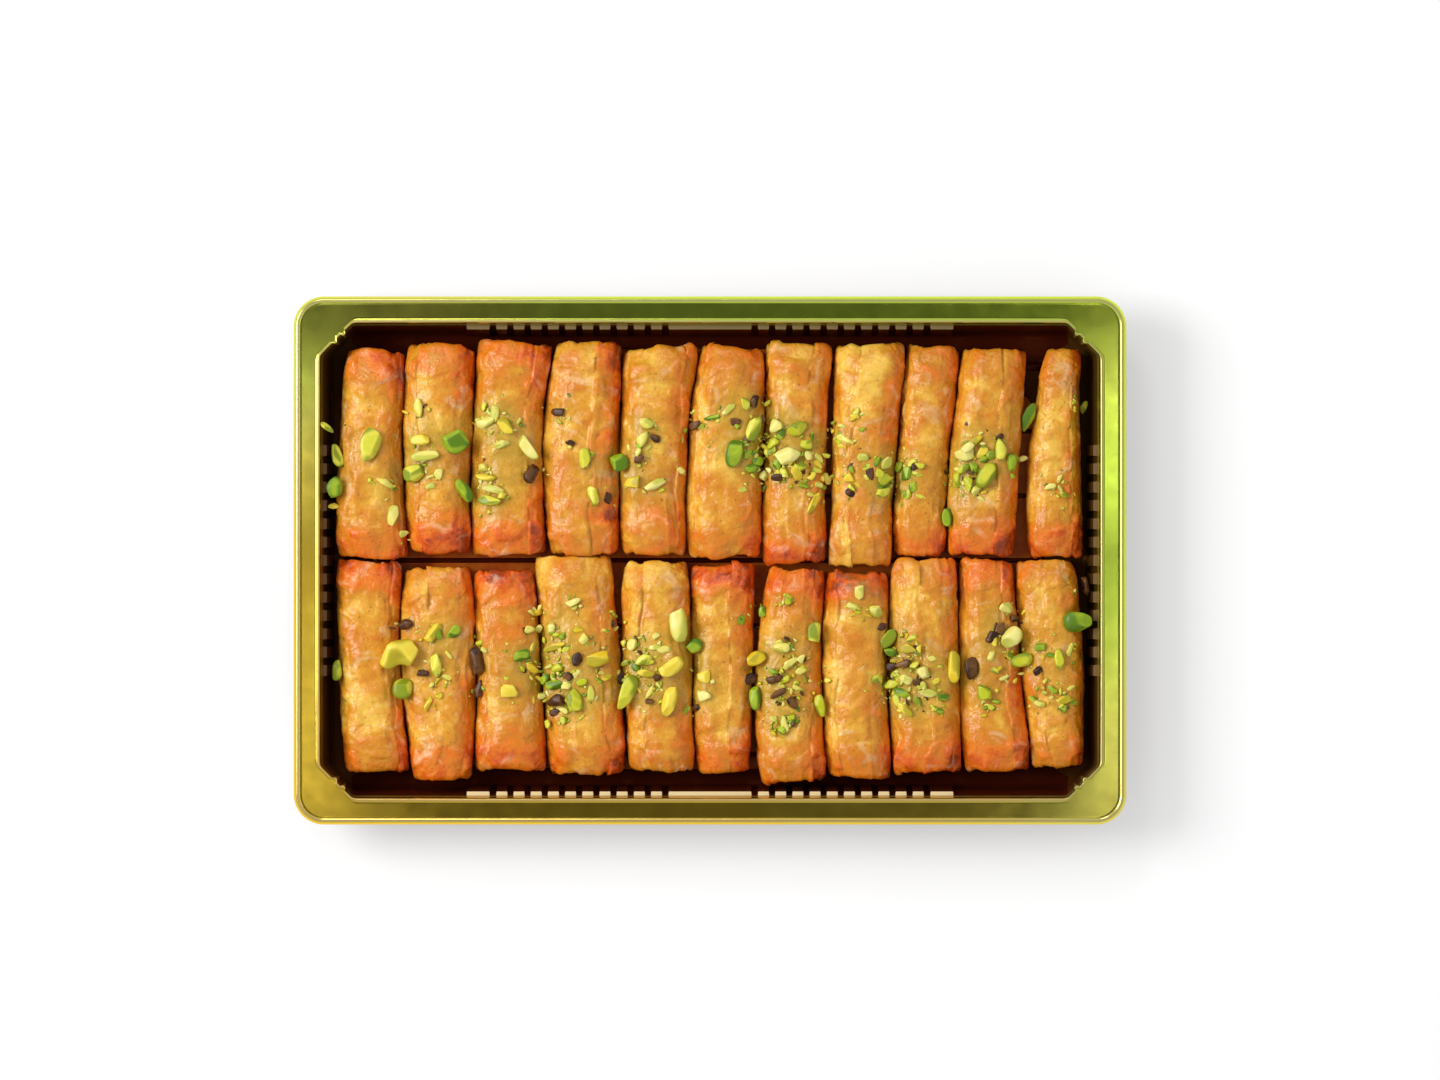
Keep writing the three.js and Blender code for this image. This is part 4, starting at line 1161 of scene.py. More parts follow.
    def winds(self, finger: Finger) -> Array:
        """Spreads the sides of a section over one wind from the seam, closer on top than below.

        Args:
            finger: the finger.

        Returns:
            The sides' places as shares of the wind, in rising order.
        """
        dip = np.radians(self.base_dip)
        top = np.linspace(-dip, np.pi + dip, self.top_sides, endpoint=False)
        base = np.linspace(np.pi + dip, TURN - dip, self.base_sides, endpoint=False)
        winds = np.sort(((np.concatenate([top, base]) - np.radians(finger.seam)) / TURN) % 1.0)
        winds[0], winds[-1] = 0.0, self.last_wind
        return winds

    def relief(self, places: Array, from_end: Array, wind: Array, circumference: float, mark: float,
               seed: int) -> dict[str, Array]:
        """Works out the small forms of the pastry's surface, in millimetres.

        Args:
            places: distance along and around the finger, from the seam.
            from_end: distance from the nearer end.
            wind: how far round from the seam, from 0 to 1.
            circumference: the length round the finger.
            mark: how clearly its seam shows.
            seed: the finger's own number.

        Returns:
            The height of the blisters, the wrinkles and the seam's lip, the depth of the dents in
            the sides, and from 0 to 1 where the flaps at the ends lie and where the seam shows. A
            wrinkle is (1 - |noise|) to a high power, which is a narrow crest.
        """
        along, around = places[..., 0], places[..., 1]
        lean_along, lean_around = self.slantwise
        slanted = np.stack([along + lean_along * around, around - lean_around * along], axis=-1)
        blister = self.blisters.patches(places, seed)
        blister += self.small_blister_share * self.small_blisters.patches(places, seed)
        area = self.fold_areas.patches(places, seed)
        long_fold = (1 - np.abs(self.long_folds.at(places, seed))) ** self.long_fold_power * area
        cross_fold = (1 - np.abs(self.cross_folds.at(slanted, seed))) ** self.cross_fold_power * (1 - area)
        grain = self.grain_share * self.grain.at(places, seed)
        shown = self.seam_shown.patches(places * np.array([1.0, 0.0]), seed)
        edge = self.flap_length + self.flap_sway * self.flap_edge.at(places, seed)
        lip = smooth_step(self.lip_reach, 0.0, (1 - wind) * circumference) * shown * mark
        return {
            "blister": self.blister_height * blister,
            "wrinkle": self.wrinkle_height * (long_fold + cross_fold + grain),
            "flap": smooth_step(self.flap_blend, -self.flap_blend, from_end - edge),
            "shown": shown,
            "lip": self.lip_height * lip,
            "dent": self.dent_depth * self.dents.patches(places, seed),
        }

    def skin(self, finger: Finger, index: int) -> Skin:
        """Makes a finger's surface.

        A point's section is a rounded box: width times cos to a power across and height times sin
        to a power up, wound outwards like a spiral from the seam. The small forms stand on it.

        Args:
            finger: the finger.
            index: its own number, which picks its pattern.

        Returns:
            The closed surface with the attributes baked, which holds painted shade on the right flanks too,
            and dust.
        """
        length = finger.y[0] - finger.y[1]
        along, size, depth = (part[:, None] for part in self.profile(length))
        seed = self.seed + 20 * index
        share = along / length
        at = self.stations(finger, share)
        wind = self.winds(finger)[None, :]
        zero = np.zeros_like(along)
        sway = self.lip_sway * self.lip_line.at(np.stack([along, zero], axis=-1), seed)
        angle = np.radians(finger.seam + sway) + wind * TURN
        rise = np.sin(angle)
        ease = mix(self.soft_seam, self.crisp_seam, min(finger.mark, 1.0))
        eased = wind * smooth_step(1.0, 1.0 - ease, wind)
        swell = 1 + self.seam_step * (eased - 0.5) * np.maximum(rise, 0.3)
        across = signed_power(np.cos(angle), self.top_roundness) * at.half * swell * size
        above = signed_power(rise, self.top_roundness) * at.height * self.upper_share * swell
        below = signed_power(rise, self.base_roundness) * at.height * (1 - self.upper_share)
        middle = self.floor + at.height * (1 - self.upper_share)
        side = np.where(share < 0.5, 1.0, -1.0)
        circumference = np.pi * (finger.width + np.mean(at.height)) / 2
        radius = size * circumference / TURN
        roll = np.abs(np.sin(np.pi * (radius / self.layer_pitch - wind)))
        from_end = np.minimum(along, length - along)
        face = np.where(depth > 0, 1.0, smooth_step(self.corner_blend, 0.0, from_end))
        edge_places = np.stack(np.broadcast_arrays(
            self.end_shift * (side + 2), wind * circumference), axis=-1)
        out = self.ragged * self.ragged_edge.at(edge_places, seed) * face
        out *= np.minimum(size / self.end_scale, 1.0)
        out -= (1 - (size / self.end_scale) ** 2).clip(0) * self.end_dimple * (depth > 0)
        out -= self.layer_depth * (1 - roll ** self.layer_sharpness) * smooth_step(0.0, 0.12, depth)
        points = np.stack(np.broadcast_arrays(
            at.x + across, at.y + at.slant * across / (2 * at.half) + side * out,
            middle + np.where(rise > 0, above, below) * size), axis=-1)
        places = np.stack(np.broadcast_arrays(
            along + self.finger_shift * index, wind * circumference), axis=-1)
        forms = self.relief(places, from_end, wind, circumference, finger.mark, seed)
        upward = smooth_step(*self.turned_up, rise)
        proud = forms["blister"] + forms["wrinkle"] + self.flap_step * forms["flap"] + forms["lip"]
        proud = proud - self.sag - forms["dent"] * smooth_step(*self.turned_aside, rise)
        lift = np.where(proud > 0, proud * upward, proud) * np.where(depth > 0, 0.0, 1.0)
        lift *= self.least_lift + (1 - self.least_lift) * upward
        points += grid_normals(points) * lift[..., None]
        poles = np.array([[at.x[end, 0], at.y[end, 0] - inward * self.end_dimple, middle[end, 0]]
                          for end, inward in ((0, 1), (-1, -1))])
        baked = self.baked(finger, share, from_end, places, wind, np.cos(angle), forms, seed)
        return ring_skin(points, poles, {"baked": baked, "dust": self.dust(points)},
                         {"baked": self.pole_baked, "dust": 0.0})

    def baked(self, finger: Finger, share: Array, from_end: Array, places: Array, wind: Array,
              facing: Array, forms: dict[str, Array], seed: int) -> Array:
        """Works out how brown the pastry is, from 0 for cream to 1 for umber.

        The level runs from the middle's to the end's, and patches, spots, blisters and the seam each
        add to it. The side turned to the right, away from the key light, adds painted shade.

        Args:
            finger: the finger.
            share: how far along, from 0 to 1.
            from_end: distance from the nearer end.
            places: distance along and around, which the patches read.
            wind: how far round from the seam, from 0 to 1.
            facing: how far the surface is turned to +X, from -1 to 1.
            forms: the small forms, whose tops brown first.
            seed: the finger's own number.

        Returns:
            The browning at each point of the grid.
        """
        far, middle, near = finger.bake
        end = np.where(share < 0.5, far, near)
        patch = self.brown_patches.at(places, seed)
        spot = self.brown_spots.at(places, seed)
        reach = smooth_step(*self.end_brown_reach, from_end + self.end_brown_sway * patch)
        level = mix(middle, end, self.end_brown * reach + self.flap_brown * forms["flap"])
        level = level + self.patch_brown * patch + self.spot_brown * spot
        level += self.blister_brown * forms["blister"] / self.blister_height - self.brown_offset
        level += self.seam_brown * finger.mark * forms["shown"] * smooth_step(0.76, 0.93, wind)
        # Painted shade: the side turned to the right, away from the key light, is painted browner.
        level += self.right_painted_shade * smooth_step(0.0, 0.9, facing)
        return np.clip(level, 0.0, self.most_baked)

    def dust(self, points: Array) -> Array:
        """Gives how much fine pistachio lies at each point: a bell round each piece, added up.

        Args:
            points: places in millimetres, the last axis holding one place's.

        Returns:
            Values from 0 to 1.
        """
        total = np.zeros(points.shape[:-1])
        for piece in LARGE_NUTS + CHIPS:
            away = np.hypot(points[..., 0] - piece.x, points[..., 1] - piece.y)
            total += self.dust_share * bump(away, 0.0, self.dust_reach)
        return np.clip(total, 0.0, 1.0)

    def build(self) -> None:
        """Makes one piece for each finger."""
        material = BakedFilo().material()
        index = 0
        for row, fingers in (("far", FAR_ROW), ("near", NEAR_ROW)):
            for place, finger in enumerate(fingers, 1):
                add_piece(f"pastry_{row}_{place:02d}", self.skin(finger, index), material,
                          (f"finger_{row}_{place:02d}",))
                index += 1


# Pistachios

@dataclass(frozen=True)
class Piece:
    """A pistachio piece: place, length, width, direction of its long side, look and cleft."""

    x: float
    y: float
    length: float
    width: float
    turn: float
    look: Nut
    cleft: float = 0.0


# The loose pieces, each a node of the model.
LARGE_NUTS = (
    Piece(-81.0, -24.7, 11.0, 8.1, 4, Nut.YELLOW, 0.45),
    Piece(-80.4, -33.4, 5.8, 5.2, 80, Nut.LIME),
    Piece(96.2, -15.9, 7.6, 5.6, 5, Nut.GREEN),
    Piece(-66.4, 31.5, 7.3, 7.0, 35, Nut.GREEN),
    Piece(-88.9, 30.5, 9.6, 5.6, 68, Nut.LIME),
    Piece(-23.8, 25.5, 5.4, 4.8, 10, Nut.GREEN),
    Piece(6.4, 28.2, 8.0, 4.4, 75, Nut.GREEN),
    Piece(11.4, 34.8, 7.2, 3.8, 75, Nut.LIME),
    Piece(-21.9, -34.5, 9.8, 4.4, 65, Nut.LIME),
    Piece(-8.2, -16.9, 9.0, 4.8, 97, Nut.CREAM),
    Piece(-10.2, -27.8, 7.4, 4.6, 35, Nut.YELLOW),
    Piece(-10.6, -36.8, 8.2, 3.8, 78, Nut.YELLOW),
    Piece(-29.2, -25.6, 6.4, 4.4, 10, Nut.YELLOW),
    Piece(-47.6, 29.6, 7.8, 3.6, -50, Nut.CREAM),
    Piece(63.8, -27.8, 8.6, 3.4, 92, Nut.YELLOW),
    Piece(79.0, -20.2, 6.4, 5.0, 60, Nut.CREAM),
    Piece(72.2, 22.0, 7.8, 4.4, 65, Nut.LIME),
    Piece(83.4, 37.4, 8.2, 3.2, 65, Nut.GREEN),
    Piece(20.2, 27.4, 7.2, 4.4, 15, Nut.CREAM),
    Piece(-77.6, 22.8, 5.6, 4.6, 10, Nut.LIME),
    Piece(-97.8, 27.5, 6.4, 3.0, 112, Nut.LIME),
    Piece(-98.2, 19.0, 5.8, 4.6, 60, Nut.GREEN),
    Piece(-4.4, -22.4, 5.0, 3.8, 20, Nut.GREEN),
    Piece(12.0, -25.7, 5.6, 4.0, 10, Nut.YELLOW),
    Piece(28.8, -37.8, 6.4, 2.9, 100, Nut.LIME),
    Piece(46.6, -20.6, 5.8, 3.4, 50, Nut.LIME),
    Piece(81.8, -26.1, 6.6, 3.6, 12, Nut.LIME),
    Piece(-97.6, -28.6, 5.8, 2.8, 80, Nut.LIME),
    Piece(-61.1, -26.5, 7.8, 3.8, 95, Nut.SKIN),
    Piece(-64.5, 18.3, 6.8, 3.6, -55, Nut.GREEN),
    Piece(-82.9, 11.6, 5.8, 3.0, 82, Nut.CREAM),
    Piece(61.9, 11.6, 5.4, 2.8, 95, Nut.GREEN),
    Piece(11.8, -35.8, 7.0, 3.2, 95, Nut.GREEN),
    Piece(68.4, -28.0, 6.4, 3.6, 95, Nut.SKIN),
    Piece(27.4, -19.0, 6.0, 3.8, 85, Nut.LIME),
)

# The pieces that the model's fingers carry.
CHIPS = (
    Piece(-75.8, 31.4, 5.2, 3.2, 5, Nut.YELLOW),
    Piece(-74.4, 27.6, 8.0, 3.0, 12, Nut.CREAM),
    Piece(-85.0, 20.4, 5.0, 2.1, -30, Nut.CREAM),
    Piece(-76.4, 39.8, 5.4, 2.6, 85, Nut.CREAM),
    Piece(-59.6, 36.2, 5.6, 2.8, 25, Nut.CREAM),
    Piece(-56.3, 38.9, 5.6, 2.4, 85, Nut.CREAM),
    Piece(-53.4, 35.2, 5.4, 3.4, -50, Nut.YELLOW),
    Piece(-54.3, 30.4, 4.6, 2.6, 20, Nut.CREAM),
    Piece(-46.4, 22.8, 5.6, 3.6, 60, Nut.SKIN),
    Piece(-58.6, 21.6, 6.2, 2.0, -12, Nut.YELLOW),
    Piece(-57.2, 18.8, 7.0, 2.4, -8, Nut.CREAM),
    Piece(-57.6, 15.6, 7.0, 2.8, -12, Nut.LIME),
    Piece(-39.7, 38.8, 4.2, 2.4, -10, Nut.SKIN),
    Piece(-32.7, 26.4, 6.0, 3.0, -80, Nut.LIME),
    Piece(-20.4, 20.4, 5.0, 3.2, 5, Nut.YELLOW),
    Piece(-30.3, 17.0, 5.8, 3.2, -75, Nut.LIME),
    Piece(-17.0, 36.2, 4.8, 3.2, -20, Nut.CREAM),
    Piece(-18.0, 31.8, 5.2, 3.2, 60, Nut.CREAM),
    Piece(-14.6, 19.7, 6.4, 2.4, 30, Nut.CREAM),
    Piece(4.6, 39.6, 4.8, 2.0, 40, Nut.CREAM),
    Piece(9.2, 40.8, 4.0, 2.6, -40, Nut.LIME),
    Piece(16.9, 35.2, 4.6, 3.8, 0, Nut.CREAM),
    Piece(22.9, 34.3, 5.4, 3.8, 20, Nut.LIME),
    Piece(14.6, 30.6, 4.4, 2.8, 30, Nut.LIME),
    Piece(25.4, 30.4, 3.8, 2.8, 0, Nut.LIME),
    Piece(22.6, 22.8, 4.4, 2.8, -50, Nut.YELLOW),
    Piece(11.0, 24.0, 3.8, 2.6, 20, Nut.GREEN),
    Piece(32.6, 31.6, 5.8, 2.0, -25, Nut.CREAM),
    Piece(41.8, 23.0, 4.2, 2.2, 95, Nut.SKIN),
    Piece(27.4, 15.2, 6.8, 2.2, 60, Nut.YELLOW),
    Piece(46.2, 25.6, 4.2, 3.0, 40, Nut.CREAM),
    Piece(47.6, 21.4, 4.4, 3.0, 30, Nut.LIME),
    Piece(46.0, 17.8, 4.8, 2.8, 10, Nut.LIME),
    Piece(51.6, 22.6, 4.4, 3.0, 80, Nut.GREEN),
    Piece(65.6, 28.0, 5.8, 4.2, 5, Nut.CREAM),
    Piece(69.8, 31.4, 5.4, 2.0, 30, Nut.YELLOW),
    Piece(76.2, 29.2, 5.8, 3.2, 85, Nut.LIME),
    Piece(79.1, 25.4, 5.2, 3.0, 95, Nut.GREEN),
    Piece(64.6, 21.4, 4.8, 2.5, 80, Nut.LIME),
    Piece(67.6, 20.0, 4.4, 2.6, 100, Nut.LIME),
    Piece(-72.6, -19.2, 6.6, 2.8, 50, Nut.YELLOW),
    Piece(-66.9, -18.4, 4.8, 3.0, 35, Nut.GREEN),
    Piece(-71.6, -27.4, 6.4, 3.2, 105, Nut.LIME),
    Piece(-49.4, -24.7, 4.6, 3.2, 20, Nut.GREEN),
    Piece(-52.9, -33.9, 5.4, 4.0, 5, Nut.YELLOW),
    Piece(-41.2, -22.6, 6.6, 1.8, 20, Nut.YELLOW),
    Piece(-41.6, -18.0, 3.8, 2.8, 80, Nut.CREAM),
    Piece(-39.6, -27.8, 4.4, 2.6, 20, Nut.LIME),
    Piece(-46.8, -28.2, 4.2, 2.0, -30, Nut.YELLOW),
    Piece(-40.6, -32.4, 5.8, 2.8, 5, Nut.GREEN),
    Piece(-41.0, -36.8, 5.6, 3.8, 0, Nut.SKIN),
    Piece(-35.6, -37.0, 7.0, 4.4, 100, Nut.LIME),
    Piece(-31.0, -35.2, 5.0, 2.3, 95, Nut.CREAM),
    Piece(-35.8, -11.0, 4.4, 2.2, 30, Nut.CREAM),
    Piece(-34.8, -25.4, 4.6, 3.2, 80, Nut.SKIN),
    Piece(-20.4, -22.4, 4.2, 3.4, 60, Nut.CREAM),
    Piece(-17.4, -25.8, 5.2, 2.8, 10, Nut.LIME),
    Piece(-16.8, -29.4, 4.8, 2.2, -5, Nut.YELLOW),
    Piece(-15.4, -34.2, 4.8, 1.6, 60, Nut.CREAM),
    Piece(-2.2, -35.6, 4.4, 3.2, 5, Nut.CREAM),
    Piece(-1.6, -30.4, 4.0, 3.6, 0, Nut.YELLOW),
    Piece(18.8, -22.8, 4.4, 2.8, 0, Nut.CREAM),
    Piece(21.2, -26.6, 4.8, 2.2, 40, Nut.CREAM),
    Piece(16.8, -31.0, 4.6, 2.4, 5, Nut.SKIN),
    Piece(17.8, -34.6, 5.0, 1.8, 25, Nut.SKIN),
    Piece(19.4, -42.6, 4.8, 2.0, 105, Nut.CREAM),
    Piece(39.2, -8.2, 4.2, 3.2, 75, Nut.CREAM),
    Piece(43.4, -13.2, 3.8, 3.6, 0, Nut.CREAM),
    Piece(51.8, -23.2, 4.8, 2.6, -10, Nut.YELLOW),
    Piece(50.2, -27.2, 5.0, 2.6, 5, Nut.SKIN),
    Piece(51.2, -31.0, 3.8, 3.0, 0, Nut.CREAM),
    Piece(50.4, -34.8, 5.8, 2.6, -15, Nut.GREEN),
    Piece(50.6, -38.6, 6.6, 2.0, -40, Nut.YELLOW),
    Piece(56.0, -29.2, 3.8, 3.6, 0, Nut.CREAM),
    Piece(56.8, -34.8, 5.2, 2.6, 0, Nut.CREAM),
    Piece(71.9, -34.6, 4.8, 3.6, 100, Nut.LIME),
    Piece(73.6, -19.8, 4.0, 2.6, 60, Nut.SKIN),
    Piece(77.4, -12.4, 3.8, 3.0, 0, Nut.CREAM),
    Piece(91.6, -26.2, 6.4, 3.0, 105, Nut.LIME),
    Piece(92.6, -36.8, 4.6, 2.8, 10, Nut.YELLOW),
)

# Smaller pieces, which the model leaves out.
SMALL_CHIPS = (
    Piece(-26.4, 16.6, 3.8, 2.8, 70, Nut.SKIN),
    Piece(-18.4, 26.8, 3.6, 2.4, 45, Nut.SKIN),
    Piece(-3.9, 35.4, 3.8, 2.4, 20, Nut.SKIN),
    Piece(17.8, 21.6, 3.8, 2.4, 10, Nut.SKIN),
    Piece(28.6, 25.0, 3.8, 1.8, -40, Nut.YELLOW),
    Piece(71.2, 28.2, 3.8, 2.4, 60, Nut.YELLOW),
    Piece(-73.8, -37.8, 4.4, 1.6, 60, Nut.YELLOW),
    Piece(-14.6, -22.6, 3.8, 1.8, 0, Nut.CREAM),
    Piece(21.4, -37.4, 3.8, 2.6, -50, Nut.SKIN),
    Piece(61.4, -35.6, 3.8, 2.4, 0, Nut.GREEN),
    Piece(-71.0, 22.8, 3.4, 2.4, 80, Nut.CREAM),
    Piece(-73.2, 19.4, 3.0, 2.0, 10, Nut.CREAM),
    Piece(-80.0, 7.0, 3.0, 2.2, 0, Nut.CREAM),
    Piece(-59.2, 24.2, 3.4, 2.6, 10, Nut.CREAM),
    Piece(-14.4, 32.0, 3.0, 2.6, 0, Nut.SKIN),
    Piece(-7.4, 23.6, 2.8, 2.2, -20, Nut.CREAM),
    Piece(-36.6, 30.7, 2.6, 1.8, -30, Nut.SKIN),
    Piece(6.5, 36.2, 3.2, 2.2, 0, Nut.SKIN),
    Piece(14.0, 22.0, 3.2, 2.6, 60, Nut.CREAM),
    Piece(36.2, 21.7, 3.4, 2.8, 0, Nut.YELLOW),
    Piece(37.0, 17.6, 3.4, 2.2, -30, Nut.SKIN),
    Piece(30.6, 21.4, 3.4, 2.0, -60, Nut.CREAM),
    Piece(49.6, 24.6, 3.2, 2.2, 60, Nut.GREEN),
    Piece(-70.6, -35.4, 2.8, 2.0, 30, Nut.YELLOW),
    Piece(-37.6, -32.8, 2.8, 2.4, 0, Nut.CREAM),
    Piece(-27.0, -30.6, 3.0, 2.0, 20, Nut.YELLOW),
    Piece(-33.0, -20.4, 3.2, 2.6, 60, Nut.CREAM),
    Piece(8.4, -15.8, 3.0, 2.6, 60, Nut.GREEN),
    Piece(13.8, -13.4, 3.0, 2.2, 90, Nut.GREEN),
    Piece(20.6, -10.2, 3.2, 2.4, 80, Nut.LIME),
    Piece(23.6, -29.2, 3.4, 2.6, 0, Nut.CREAM),
    Piece(45.0, -17.2, 3.0, 2.4, 0, Nut.SKIN),
    Piece(43.8, -31.0, 3.2, 2.4, 0, Nut.LIME),
    Piece(73.6, -24.8, 3.2, 2.0, 70, Nut.CREAM),
    Piece(86.4, -22.6, 3.2, 2.2, 0, Nut.GREEN),
    Piece(-34.4, -18.2, 3.2, 2.0, 10, Nut.YELLOW),
    Piece(30.9, -31.4, 2.2, 1.4, 0, Nut.YELLOW),
    Piece(98.0, 40.2, 3.6, 2.0, 80, Nut.LIME),
    Piece(-100.0, 34.6, 4.4, 1.8, -40, Nut.LIME),
    Piece(-98.6, 14.2, 3.0, 1.8, 10, Nut.YELLOW),
    Piece(-79.6, -16.4, 4.6, 3.2, 20, Nut.SKIN),
    Piece(-75.2, -29.5, 3.4, 2.0, 0, Nut.SKIN),
    Piece(-68.7, -30.6, 3.2, 1.6, -10, Nut.CREAM),
    Piece(-60.4, -33.6, 5.0, 2.6, 80, Nut.SKIN),
    Piece(-60.2, -21.6, 2.6, 2.0, 40, Nut.LIME),
    Piece(-45.2, -13.7, 2.6, 1.8, 0, Nut.YELLOW),
    Piece(-47.1, -17.9, 3.4, 2.2, 20, Nut.CREAM),
    Piece(-37.4, -22.9, 3.6, 1.8, 30, Nut.LIME),
    Piece(-37.4, -30.2, 3.6, 2.4, -30, Nut.SKIN),
    Piece(-35.0, -29.8, 3.2, 1.8, 60, Nut.CREAM),
    Piece(-44.2, -35.4, 3.0, 2.2, 0, Nut.CREAM),
    Piece(-43.4, -31.0, 3.4, 2.4, 50, Nut.GREEN),
    Piece(-38.6, -42.0, 2.6, 1.8, 70, Nut.LIME),
    Piece(-40.8, -40.0, 3.6, 2.2, 10, Nut.SKIN),
    Piece(-38.4, -39.2, 2.8, 1.6, -20, Nut.CREAM),
    Piece(-33.4, -31.8, 3.2, 2.2, 20, Nut.LIME),
    Piece(-25.4, -16.6, 3.2, 1.8, 60, Nut.SKIN),
    Piece(-11.8, -23.4, 4.4, 2.4, 10, Nut.CREAM),
    Piece(-22.9, -30.6, 3.6, 2.6, 80, Nut.SKIN),
    Piece(-14.0, -30.6, 2.8, 1.8, 30, Nut.SKIN),
    Piece(-16.2, -36.8, 3.0, 1.6, 0, Nut.SKIN),
    Piece(-19.6, -27.6, 3.2, 2.2, -40, Nut.GREEN),
    Piece(-3.6, -38.6, 3.2, 1.8, 20, Nut.SKIN),
    Piece(10.1, 32.2, 3.8, 2.2, 50, Nut.SKIN),
    Piece(11.8, 41.2, 4.2, 2.8, 70, Nut.SKIN),
    Piece(9.8, 28.0, 3.6, 2.0, 60, Nut.GREEN),
    Piece(12.2, 25.8, 3.8, 2.8, 20, Nut.GREEN),
    Piece(15.6, 28.4, 3.6, 2.6, -20, Nut.LIME),
    Piece(18.6, 33.0, 3.0, 2.0, 60, Nut.GREEN),
    Piece(23.6, 24.4, 4.0, 2.8, 30, Nut.LIME),
    Piece(19.4, 23.0, 3.4, 2.4, -30, Nut.LIME),
    Piece(17.4, 25.2, 3.6, 2.6, 80, Nut.GREEN),
    Piece(26.6, 21.9, 3.2, 1.8, 50, Nut.YELLOW),
    Piece(26.0, 27.2, 3.4, 2.4, -60, Nut.CREAM),
    Piece(8.6, 18.6, 2.8, 1.6, 0, Nut.CREAM),
    Piece(28.6, 26.8, 3.2, 1.8, -40, Nut.CREAM),
    Piece(34.8, 29.8, 3.4, 1.8, -20, Nut.YELLOW),
    Piece(37.9, 37.4, 3.6, 1.6, 40, Nut.YELLOW),
    Piece(34.6, 35.2, 3.0, 1.4, -30, Nut.CREAM),
    Piece(39.8, 26.9, 3.4, 2.4, 0, Nut.CREAM),
    Piece(38.6, 20.0, 3.2, 1.4, -50, Nut.YELLOW),
    Piece(44.4, 22.8, 3.8, 2.4, -30, Nut.LIME),
    Piece(45.0, 19.6, 3.4, 2.2, 40, Nut.GREEN),
    Piece(44.0, 25.8, 3.2, 2.0, 70, Nut.GREEN),
    Piece(53.0, 19.6, 3.8, 2.4, 100, Nut.GREEN),
    Piece(52.8, 25.4, 3.4, 2.2, 30, Nut.LIME),
    Piece(54.4, 22.6, 3.2, 2.0, -20, Nut.LIME),
    Piece(51.6, 17.2, 3.4, 2.2, 60, Nut.LIME),
    Piece(67.4, 29.4, 3.8, 2.4, 40, Nut.CREAM),
    Piece(66.2, 24.0, 3.8, 2.4, 20, Nut.LIME),
    Piece(69.4, 18.4, 3.2, 2.2, 60, Nut.CREAM),
    Piece(69.2, 24.2, 3.2, 2.2, 100, Nut.GREEN),
    Piece(73.4, 27.8, 3.4, 2.2, 0, Nut.LIME),
    Piece(75.6, 32.3, 2.6, 1.6, 30, Nut.SKIN),
    Piece(88.9, 19.4, 3.6, 1.6, 10, Nut.CREAM),
    Piece(91.4, 21.2, 2.8, 1.4, 60, Nut.CREAM),
    Piece(92.6, 17.2, 2.6, 1.4, -20, Nut.LIME),
    Piece(0.6, 37.4, 4.6, 1.4, 10, Nut.GREEN),
    Piece(-1.2, 33.4, 2.6, 1.6, 50, Nut.LIME),
    Piece(16.6, -29.0, 3.4, 1.8, -20, Nut.GREEN),
    Piece(23.8, -25.8, 3.2, 2.2, 60, Nut.CREAM),
    Piece(10.4, -31.2, 4.2, 3.0, 30, Nut.SKIN),
    Piece(22.6, -33.4, 3.8, 1.4, -30, Nut.CREAM),
    Piece(20.0, -31.0, 3.0, 2.0, 70, Nut.LIME),
    Piece(21.6, -42.0, 2.8, 1.6, 60, Nut.GREEN),
    Piece(16.6, -41.4, 2.4, 1.6, 0, Nut.CREAM),
    Piece(37.4, -12.2, 3.6, 2.2, -20, Nut.CREAM),
    Piece(47.0, -24.0, 4.2, 2.4, -20, Nut.GREEN),
    Piece(53.0, -20.4, 3.4, 2.0, 20, Nut.LIME),
    Piece(47.8, -27.6, 4.0, 2.4, 10, Nut.SKIN),
    Piece(53.4, -27.6, 3.2, 2.0, 40, Nut.LIME),
    Piece(54.0, -31.8, 2.8, 2.2, 0, Nut.SKIN),
    Piece(47.4, -32.4, 4.6, 2.6, 20, Nut.LIME),
    Piece(48.8, -36.6, 4.0, 2.6, 100, Nut.LIME),
    Piece(54.2, -36.8, 3.2, 2.0, -40, Nut.LIME),
    Piece(58.8, -31.6, 3.2, 2.0, 30, Nut.YELLOW),
    Piece(60.2, -39.4, 2.6, 1.8, 0, Nut.GREEN),
    Piece(58.2, -25.6, 3.0, 2.0, -20, Nut.CREAM),
    Piece(76.0, -18.0, 4.2, 2.8, 60, Nut.SKIN),
    Piece(79.6, -15.2, 3.0, 2.0, 0, Nut.SKIN),
    Piece(77.2, -30.6, 3.6, 1.4, 20, Nut.CREAM),
    Piece(74.6, -28.8, 2.8, 1.6, -30, Nut.LIME),
    Piece(73.4, -38.4, 3.6, 1.4, -30, Nut.LIME),
    Piece(85.6, -29.0, 3.2, 2.2, 50, Nut.SKIN),
    Piece(78.4, -25.0, 3.6, 2.2, -30, Nut.LIME),
    Piece(94.2, -23.4, 4.0, 1.6, 70, Nut.CREAM),
    Piece(89.6, -33.7, 3.2, 1.6, -40, Nut.GREEN),
    Piece(86.2, -37.4, 4.4, 1.8, -20, Nut.CREAM),
    Piece(94.2, -33.4, 3.0, 1.6, 30, Nut.CREAM),
    Piece(95.0, -37.4, 3.2, 1.6, -10, Nut.LIME),
    Piece(98.2, -6.6, 5.4, 2.6, 110, Nut.SKIN),
)


@dataclass
class Batch:
    """Nut pieces of one size, with one number a piece in every field."""

    x: Array
    y: Array
    length: Array
    width: Array
    thickness: Array
    turn: Array
    tilt: Array
    cleft: Array
    shade: Array


